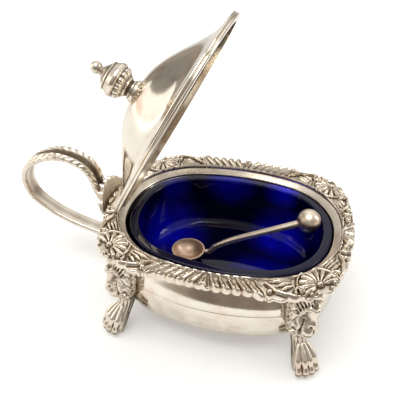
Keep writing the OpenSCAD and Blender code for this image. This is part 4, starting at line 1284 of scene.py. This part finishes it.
def build_lid():
    plan = LidPlan()
    lid, outline, seat_z, foot_out = plan.sizes, plan.outline, plan.seat_z, plan.foot_out
    opened = plan.opened(lid.set_in / 2)
    reed, foot_z = lid.rim_h / 2, seat_z + lid.rim_h
    inside = foot_out - 2 * lid.sheet_t
    rows = [(inside, seat_z, 1)]
    for i in range(2):
        middle_z = seat_z + reed * (i + 0.5)
        for a in np.radians(np.arange(-90, 90, 15)):
            rows.append((plan.out - reed / 2 * (1 - math.cos(a)), middle_z + reed / 2 * math.sin(a), 1))
    rows += [(plan.out - reed / 2, foot_z, 1), (inside, foot_z, 1)]
    sheets = Sheets().add(outline.swept(rows), wrap_u=True, wrap_v=True).moved(opened)
    make("lid_rim_reeded", "lid_rim", sheets, polished(), "lid", (8, 0.35), 50)

    n = 224
    t = -np.arange(n) * 4 / n
    rise = lid.height - lid.rim_h

    def ring(q, u, top, z):
        edge = outline.at(u, t)
        spin = np.arctan2(edge[:, 1], edge[:, 0])
        xy = mix(edge, top * np.column_stack([np.cos(spin), np.sin(spin)]), q)
        return np.column_stack([xy, np.full(n, z)])

    def skin(inset, top, height):
        q = np.linspace(0, 1, 56)
        lift = (1 - np.cos(math.pi * q ** 0.95)) / 2
        return [ring(a, foot_out - inset, top, foot_z + height * b) for a, b in zip(q, lift)]

    hole = lid.stud_r + SEAT_GAP
    throat = [ring(1, 0, hole, foot_z + rise - depth) for depth in (0, lid.sheet_t)]
    lining = skin(lid.sheet_t, plan.top_r - lid.sheet_t / 2, rise - lid.sheet_t)
    dome = np.array(skin(0, plan.top_r, rise) + throat + lining[::-1])
    sheets = Sheets().add(dome, wrap_u=True, wrap_v=True).moved(opened)
    make("lid_dome_raised", "lid_dome", sheets, polished(), "lid", (24, 1.0))


# The finial's outline above the lid: shares of the base's or the urn's radius, and heights in millimetres
FINIAL_FOOT = [(0.85, 1.12), (0.84, 1.85), (0.79, 1.98), (0.72, 2.3), (0.7, 2.7), (0.76, 2.95)]
FINIAL_URN = [
    (0.6, 3.2), (0.63, 3.5), (0.62, 3.8), (0.66, 4.1), (0.74, 4.5), (0.82, 5.0), (0.85, 5.4), (0.86, 5.8),
    (0.86, 6.2), (0.88, 6.45), (0.97, 6.75), (1, 7.0), (1, 8.0), (0.98, 8.25), (0.95, 8.5), (0.91, 9.0),
    (0.85, 9.6), (0.8, 9.95), (0.83, 10.0), (0.845, 10.15), (0.83, 10.35), (0.79, 10.6), (0.74, 10.78),
    (0.7, 10.8), (0.58, 11.4), (0.44, 12.08), (0.33, 12.6), (0.25, 13.0)]
FINIAL_NECK_R = 1.2
# The urn's lobes: height and place above the lid, and reach up and down
LOBE_RISE, LOBE_Z, LOBE_REACH = 0.75, 5.3, 1.15
NUT_H = 1.6


def build_finial():
    plan = LidPlan()
    lid = plan.sizes
    opened = plan.opened(lid.set_in / 2)
    base_z = plan.seat_z + lid.height
    b, ball_r = lid.finial_base_r, lid.ball_r
    stud_z = base_z - lid.sheet_t - NUT_H
    stud = [(0, stud_z), (lid.stud_r, stud_z), (lid.stud_r, base_z)]
    shape = [(b - 0.12, 0), (b, 0.12), (b, 0.98), (b - 0.12, 1.1)]
    shape += [(k * b, z) for k, z in FINIAL_FOOT] + [(k * lid.urn_r, z) for k, z in FINIAL_URN]
    shape += [(FINIAL_NECK_R, lid.urn_h)]
    ball_z = base_z + lid.urn_h + 0.8 * ball_r
    ball = [(ball_r * math.sin(a), ball_z - ball_r * math.cos(a))
            for a in np.linspace(math.asin(FINIAL_NECK_R / ball_r), math.pi, 26)]
    rows = stud + [(r, base_z + z) for r, z in shape] + ball
    swell = LOBE_RISE * bump(np.array([z - base_z for _, z in rows]) - LOBE_Z, LOBE_REACH)
    swell[:len(stud)], swell[-len(ball):] = 0, 0

    def wave(k, a):
        return swell[k] * (np.abs(np.cos(a * lid.urn_lobes / 2)) ** 0.6 - 0.45)

    sheets = Sheets().add(lathe(rows, 12 * lid.urn_lobes, wave), wrap_v=True).moved(opened)
    make("finial_cast", "finial", sheets, chased(), "lid", (8, 0.3), 42)

    r, low, bore = 0.75 * b, stud_z - SEAT_GAP, lid.stud_r + RUN_GAP
    nut = [
        (bore, 0), (r - 0.3, 0), (r - 0.05, 0.3), (r, 0.6), (r, NUT_H - 0.1), (r - 0.1, NUT_H), (bore, NUT_H)]
    sheets = Sheets().add(lathe([(x, low + z) for x, z in nut], 48), wrap_u=True, wrap_v=True).moved(opened)
    make("finial_nut_turned", "finial_nut", sheets, polished(), "lid")


# Liner and spoon


def build_liner():
    pot, liner = values("pot_sizes"), values("liner_sizes")
    floor_z, top, lip_r = pot.body_base_h + pot.wall_t, pot.rim_h - liner.lip_drop, 0.8
    curve_z, glass_z = floor_z + liner.foot_h, floor_z + liner.base_t
    out, into = -liner.gap, -liner.gap - liner.glass_t
    run_in = liner.foot_run - 0.6 * liner.glass_t
    quarter = np.linspace(0, math.pi / 2, 22)

    def foot(u, run, rise):
        return [(u - run * (1 - math.sin(a)), curve_z - rise * math.cos(a), 1) for a in quarter]

    def wall_and_lip(u, way):
        lip = [(u - way * lip_r * (1 - math.cos(a)), top - lip_r + lip_r * math.sin(a), 1)
               for a in np.linspace(0, math.pi / 2, 9)]
        return [(u, z, 1) for z in np.linspace(curve_z, top - lip_r, 10)[1:]] + lip

    rows = [(out - liner.foot_run, floor_z, k) for k in BOTTOM_RINGS]
    rows += foot(out, liner.foot_run, liner.foot_h) + wall_and_lip(out, 1)
    rows += wall_and_lip(into, -1)[::-1] + foot(into, run_in, curve_z - glass_z)[::-1]
    rows += [(into - run_in, glass_z, k) for k in BOTTOM_RINGS[::-1]]
    grid = opening_outline().swept(rows)
    grid[..., 0] += 0.5 * liner.gap
    sheets = Sheets().add(grid, wrap_v=True)
    make("glass_liner_moulded", "glass_liner", sheets, cobalt(), "pot", sharp=60)


def spoon_layout():
    pot, liner, spoon = values("pot_sizes"), values("liner_sizes"), values("spoon_sizes")
    bowl_z = pot.body_base_h + pot.wall_t + liner.base_t + MOVE_GAP
    pivot = JOINTS["spoon_swing"]["pos_m"]
    c, s = math.cos(spoon.turn), math.sin(spoon.turn)

    def placed(p):
        return np.column_stack([
            pivot[0] / MM + p[:, 0] * c - p[:, 1] * s, pivot[1] / MM + p[:, 0] * s + p[:, 1] * c, p[:, 2]])

    return spoon, bowl_z, pot.rim_h - spoon.ball_drop, placed


def build_spoon():
    spoon, bowl_z, ball_z, placed = spoon_layout()
    r = (spoon.bowl_r ** 2 + spoon.bowl_depth ** 2) / (2 * spoon.bowl_depth)
    brim_z, centre_z, r_in = bowl_z + spoon.bowl_depth, bowl_z + r, r - spoon.bowl_t
    span, span_in = math.acos(1 - spoon.bowl_depth / r), math.acos((centre_z - brim_z) / r_in)
    rows = [(r * math.sin(a), centre_z - r * math.cos(a)) for a in np.linspace(0, span, 32)]
    rim_r, rim_in = rows[-1][0], r_in * math.sin(span_in)
    rows += [(mix(rim_r, rim_in, k), brim_z) for k in (0.3, 0.7)]
    rows += [(r_in * math.sin(a), centre_z - r_in * math.cos(a)) for a in np.linspace(span_in, 0, 32)]
    sheets = Sheets().add(lathe(rows, 96), wrap_v=True).moved(placed)
    make("spoon_bowl_raised", "spoon_bowl", sheets, gilt(), "spoon", (16, 0.8), 50)

    line = np.array([
        (spoon.bowl_r + SEAT_GAP, brim_z - spoon.stem_r0),
        (1.32 * spoon.bowl_r, brim_z - 0.4 * spoon.stem_r0),
        (1.7 * spoon.bowl_r, brim_z + 0.5 * spoon.bowl_depth),
        (mix(spoon.bowl_r, spoon.reach, 0.3), mix(brim_z, ball_z, 0.36)),
        (mix(spoon.bowl_r, spoon.reach, 0.65), mix(brim_z, ball_z, 0.68)), (spoon.reach, ball_z)])
    tilt = math.atan2(*(line[-1] - line[-2])[::-1])
    ahead = np.array([math.cos(tilt), math.sin(tilt)])
    socket = 0.45 * spoon.ball_r
    line[-1] -= (spoon.ball_r - socket + SEAT_GAP) * ahead
    k = np.linspace(0, 1, 110)
    p = curve_at(line, k)
    along = directions(p)
    along[0], along[-1] = (1, 0), ahead
    radius = mix(spoon.stem_r0, spoon.stem_r1, k)
    rings = tube(p, along, radius)
    sheets = Sheets().add(rings, wrap_v=True, cap=True).moved(placed)
    make("spoon_stem_forged", "spoon_stem", sheets, warm(), "spoon", (20, 1.0))

    hole = spoon.stem_r1 + SEAT_GAP
    lip = math.asin(hole / spoon.ball_r)
    rows = [(0, spoon.ball_r - socket), (hole, spoon.ball_r - socket)]
    rows += [(spoon.ball_r * math.sin(a), spoon.ball_r * math.cos(a)) for a in np.linspace(lip, math.pi, 48)]
    rings = lathe(rows, 72)
    back = -ahead
    side = np.array([-back[1], back[0]])
    local = np.stack([
        spoon.reach + rings[..., 2] * back[0] + rings[..., 0] * side[0], rings[..., 1],
        ball_z + rings[..., 2] * back[1] + rings[..., 0] * side[1]], -1)
    sheets = Sheets().add(local, wrap_v=True).moved(placed)
    make("spoon_ball_spun", "spoon_ball", sheets, warm(), "spoon", (20, 1.0))


# Stage

# The paper: half width and back in millimetres, and a front edge that runs askew in front of the pot
FLOOR_HALF_W, FLOOR_BACK = 3000, 4000
FLOOR_FRONT, FLOOR_SKEW = -165, 0.6
FLOOR_Z = -0.05
# How much the paper is lifted to white where it is seen, near the pot and away from it, and in mirrored views
NEAR_LIFT, FAR_LIFT, MIRRORED_LIFT = 0.22, 0.6, 0.06
LIFT_FROM, LIFT_TO = 70, 300
# Grain of the paper, as a noise scale and the share of its colour in the darker spots
PAPER_SCALE, PAPER_DIP = 300, 0.985

# Lamps: place, aim and size in metres, power in watts, and tint
LAMPS = {
    "left_window": ((-0.85, -0.2, 0.38), (0, 0, 0.04), (0.8, 0.55), 1.6, (1.0, 0.97, 0.90)),
    "left_door": ((-0.95, 0.34, 0.13), (0, 0, 0.08), (0.5, 0.34), 0.5, (1.0, 0.97, 0.92)),
    "top_box": ((-0.1, -0.28, 0.97), (0, 0, 0.04), (0.75, 0.5), 4.2, (1.0, 0.985, 0.96)),
    "right_strip": ((0.8, 0.25, 0.45), (0, 0, 0.04), (0.25, 0.5), 1.4, (1.0, 0.98, 0.95)),
}


def build_floor():
    paper = bpy.context.scene.pot_finishes.floor
    x, y = np.meshgrid(np.linspace(-FLOOR_HALF_W, FLOOR_HALF_W, 9), np.linspace(0, 1, 9), indexing="ij")
    y = mix(FLOOR_SKEW * x + FLOOR_FRONT, FLOOR_BACK, y)
    sheets = Sheets().add(np.dstack([x, y, np.full(x.shape, FLOOR_Z)]))
    mesh = bpy.data.meshes.new("paper_floor")
    mesh.from_pydata((np.concatenate(sheets.points) * MM).tolist(), [], sheets.faces)
    floor = bpy.data.objects.new("paper_floor", mesh)
    bpy.context.scene.collection.objects.link(floor)
    material, tree, shader = shader_tree("white_paper")
    place = add_node(tree, "ShaderNodeTexCoord").outputs["Object"]
    darker = tuple(PAPER_DIP * c for c in paper)
    tone = ramp(tree, noise(tree, place, PAPER_SCALE), [(0.3, darker), (0.7, tuple(paper))])
    feed(tree, shader.inputs["Base Color"], tone)
    shader.inputs["Roughness"].default_value = 1.0
    shader.inputs["Specular IOR Level"].default_value = 0.0
    away = measured(tree, "LENGTH", place)
    level = ranged(tree, away, LIFT_FROM * MM, LIFT_TO * MM, NEAR_LIFT, FAR_LIFT)
    glossy = add_node(tree, "ShaderNodeLightPath").outputs["Is Glossy Ray"]
    mirrored = worked(tree, "MULTIPLY", glossy, MIRRORED_LIFT)
    lift = worked(tree, "MULTIPLY_ADD", seen_directly(tree), level, mirrored)
    shader.inputs["Emission Color"].default_value = (1, 1, 1, 1)
    feed(tree, shader.inputs["Emission Strength"], lift)
    mesh.materials.append(material)


def build_world():
    """A room that is brighter upwards and behind the pot, uneven, and white where it is seen itself."""
    world = bpy.data.worlds.new("studio")
    bpy.context.scene.world = world
    world.use_nodes = True
    tree = world.node_tree
    room, out = tree.nodes["Background"], tree.nodes["World Output"]
    place = add_node(tree, "ShaderNodeTexCoord").outputs["Generated"]

    def lobe(direction, low, high, level):
        """1 all round, easing to a level towards a direction."""
        toward = measured(tree, "DOT_PRODUCT", place, Vector(direction).normalized())
        return ranged(tree, toward, low, high, 1.0, level, "SMOOTHSTEP")

    parts = add_node(tree, "ShaderNodeSeparateXYZ")
    feed(tree, parts.inputs[0], place)
    feed(tree, room.inputs["Color"], ramp(tree, parts.outputs["Z"], [
        (0.0, (0.30, 0.25, 0.21)), (0.25, (0.32, 0.30, 0.27)), (0.55, (0.60, 0.585, 0.555)),
        (1.0, (0.70, 0.69, 0.67))]))
    camera_side = lobe((0.45, -0.75, 0.45), 0.55, 0.95, 0.75)
    wall = lobe((0.1, 0.8, 0.6), 0.6, 0.95, 1.6)
    cloud = ranged(tree, noise(tree, place, 2.4, 2.0), 0.3, 0.7, 0.65, 1.35)
    uneven = worked(tree, "MULTIPLY", camera_side, cloud)
    feed(tree, room.inputs["Strength"], worked(tree, "MULTIPLY", uneven, wall))
    paper = add_node(tree, "ShaderNodeBackground", Color=(1, 1, 1, 1), Strength=1.0)
    pick = add_node(tree, "ShaderNodeMixShader")
    for socket, value in zip(pick.inputs, (seen_directly(tree), room.outputs[0], paper.outputs[0])):
        feed(tree, socket, value)
    feed(tree, out.inputs["Surface"], pick.outputs[0])


def soft_box(name, place, aim, size, power, tint):
    """An area lamp with the settings of a row of LAMPS."""
    lamp = bpy.data.lights.new(name, "AREA")
    lamp.shape, lamp.energy, lamp.color = "RECTANGLE", power, tint
    lamp.size, lamp.size_y = size
    made = bpy.data.objects.new(name, lamp)
    bpy.context.scene.collection.objects.link(made)
    made.location = Vector(place)
    made.rotation_mode = "QUATERNION"
    made.rotation_quaternion = (Vector(aim) - Vector(place)).to_track_quat("-Z", "Y")


def build_camera():
    stage = values("pot_stage")

    def back(a, e):
        return Vector((math.sin(a) * math.cos(e), -math.cos(a) * math.cos(e), math.sin(e)))

    place = Vector((0, 0, stage.aim_h)) + back(stage.azimuth, stage.elevation) * stage.distance
    a, e = stage.azimuth + stage.yaw, stage.elevation + stage.pitch
    behind = back(a, e)
    right = Vector((math.cos(a), math.sin(a), 0))
    up = behind.cross(right)
    c, s = math.cos(stage.roll), math.sin(stage.roll)
    right, up = right * c + up * s, up * c - right * s
    camera = bpy.data.objects.new("camera", bpy.data.cameras.new("camera"))
    bpy.context.scene.collection.objects.link(camera)
    camera.data.sensor_width = 36
    camera.data.lens = stage.focal
    camera.data.clip_start, camera.data.clip_end = 0.005, 50
    turn = Matrix((right, up, behind)).transposed().to_4x4()
    camera.matrix_world = Matrix.Translation(place * MM) @ turn
    bpy.context.scene.camera = camera


def build_stage():
    scene = bpy.context.scene
    scene.view_settings.view_transform = "Standard"
    build_floor()
    build_world()
    for name, settings in LAMPS.items():
        soft_box(name, *settings)
    build_camera()


# Operators, panel and registration


def operator(idname, label, text, work):
    """An operator class that runs one building function."""

    def execute(self, context):
        work()
        return {"FINISHED"}

    return type("POT_OT_" + idname, (bpy.types.Operator,), {
        "__doc__": text, "bl_idname": "pot." + idname, "bl_label": label, "execute": execute,
        "bl_options": {"REGISTER", "UNDO"}})


OPERATORS = [
    operator("body", "Body", "Builds the raised body", build_body),
    operator("collar", "Rim collar", "Builds the rim's band and flange", build_collar),
    operator("border", "Border", "Builds the eight struck sections of the border", build_border),
    operator("feet", "Lion feet", "Builds the four cast feet", build_feet),
    operator("handle", "Handle", "Builds the looped handle and its leaf", build_handle),
    operator("hinge", "Hinge", "Builds the hinge's leaves and pin", build_hinge),
    operator("lid", "Lid", "Builds the lid's dome and reeded edge", build_lid),
    operator("finial", "Finial", "Builds the urn finial and its nut", build_finial),
    operator("liner", "Glass liner", "Builds the cobalt glass liner", build_liner),
    operator("spoon", "Spoon", "Builds the spoon", build_spoon),
    operator("stage", "Stage", "Builds the floor, the lights and the camera", build_stage),
]


class POT_PT_panel(bpy.types.Panel):
    """Lists the pot's pieces and sizes."""

    bl_idname = "POT_PT_panel"
    bl_label = "Mustard pot"
    bl_space_type = "VIEW_3D"
    bl_region_type = "UI"
    bl_category = "Mustard pot"

    def draw(self, context):
        for made in OPERATORS:
            self.layout.operator(made.bl_idname)
        for name, group in GROUPS.items():
            box = self.layout.box()
            for key in group.__annotations__:
                box.prop(getattr(context.scene, name), key)


CLASSES = [*GROUPS.values(), *OPERATORS, POT_PT_panel]


def register():
    for cls in CLASSES:
        bpy.utils.register_class(cls)
    for name, group in GROUPS.items():
        setattr(bpy.types.Scene, name, bpy.props.PointerProperty(type=group))


def unregister():
    for name in GROUPS:
        delattr(bpy.types.Scene, name)
    for cls in reversed(CLASSES):
        bpy.utils.unregister_class(cls)


def main():
    register()
    for made in OPERATORS:
        getattr(bpy.ops.pot, made.bl_idname.split(".")[1])()


if __name__ == "__main__":
    main()
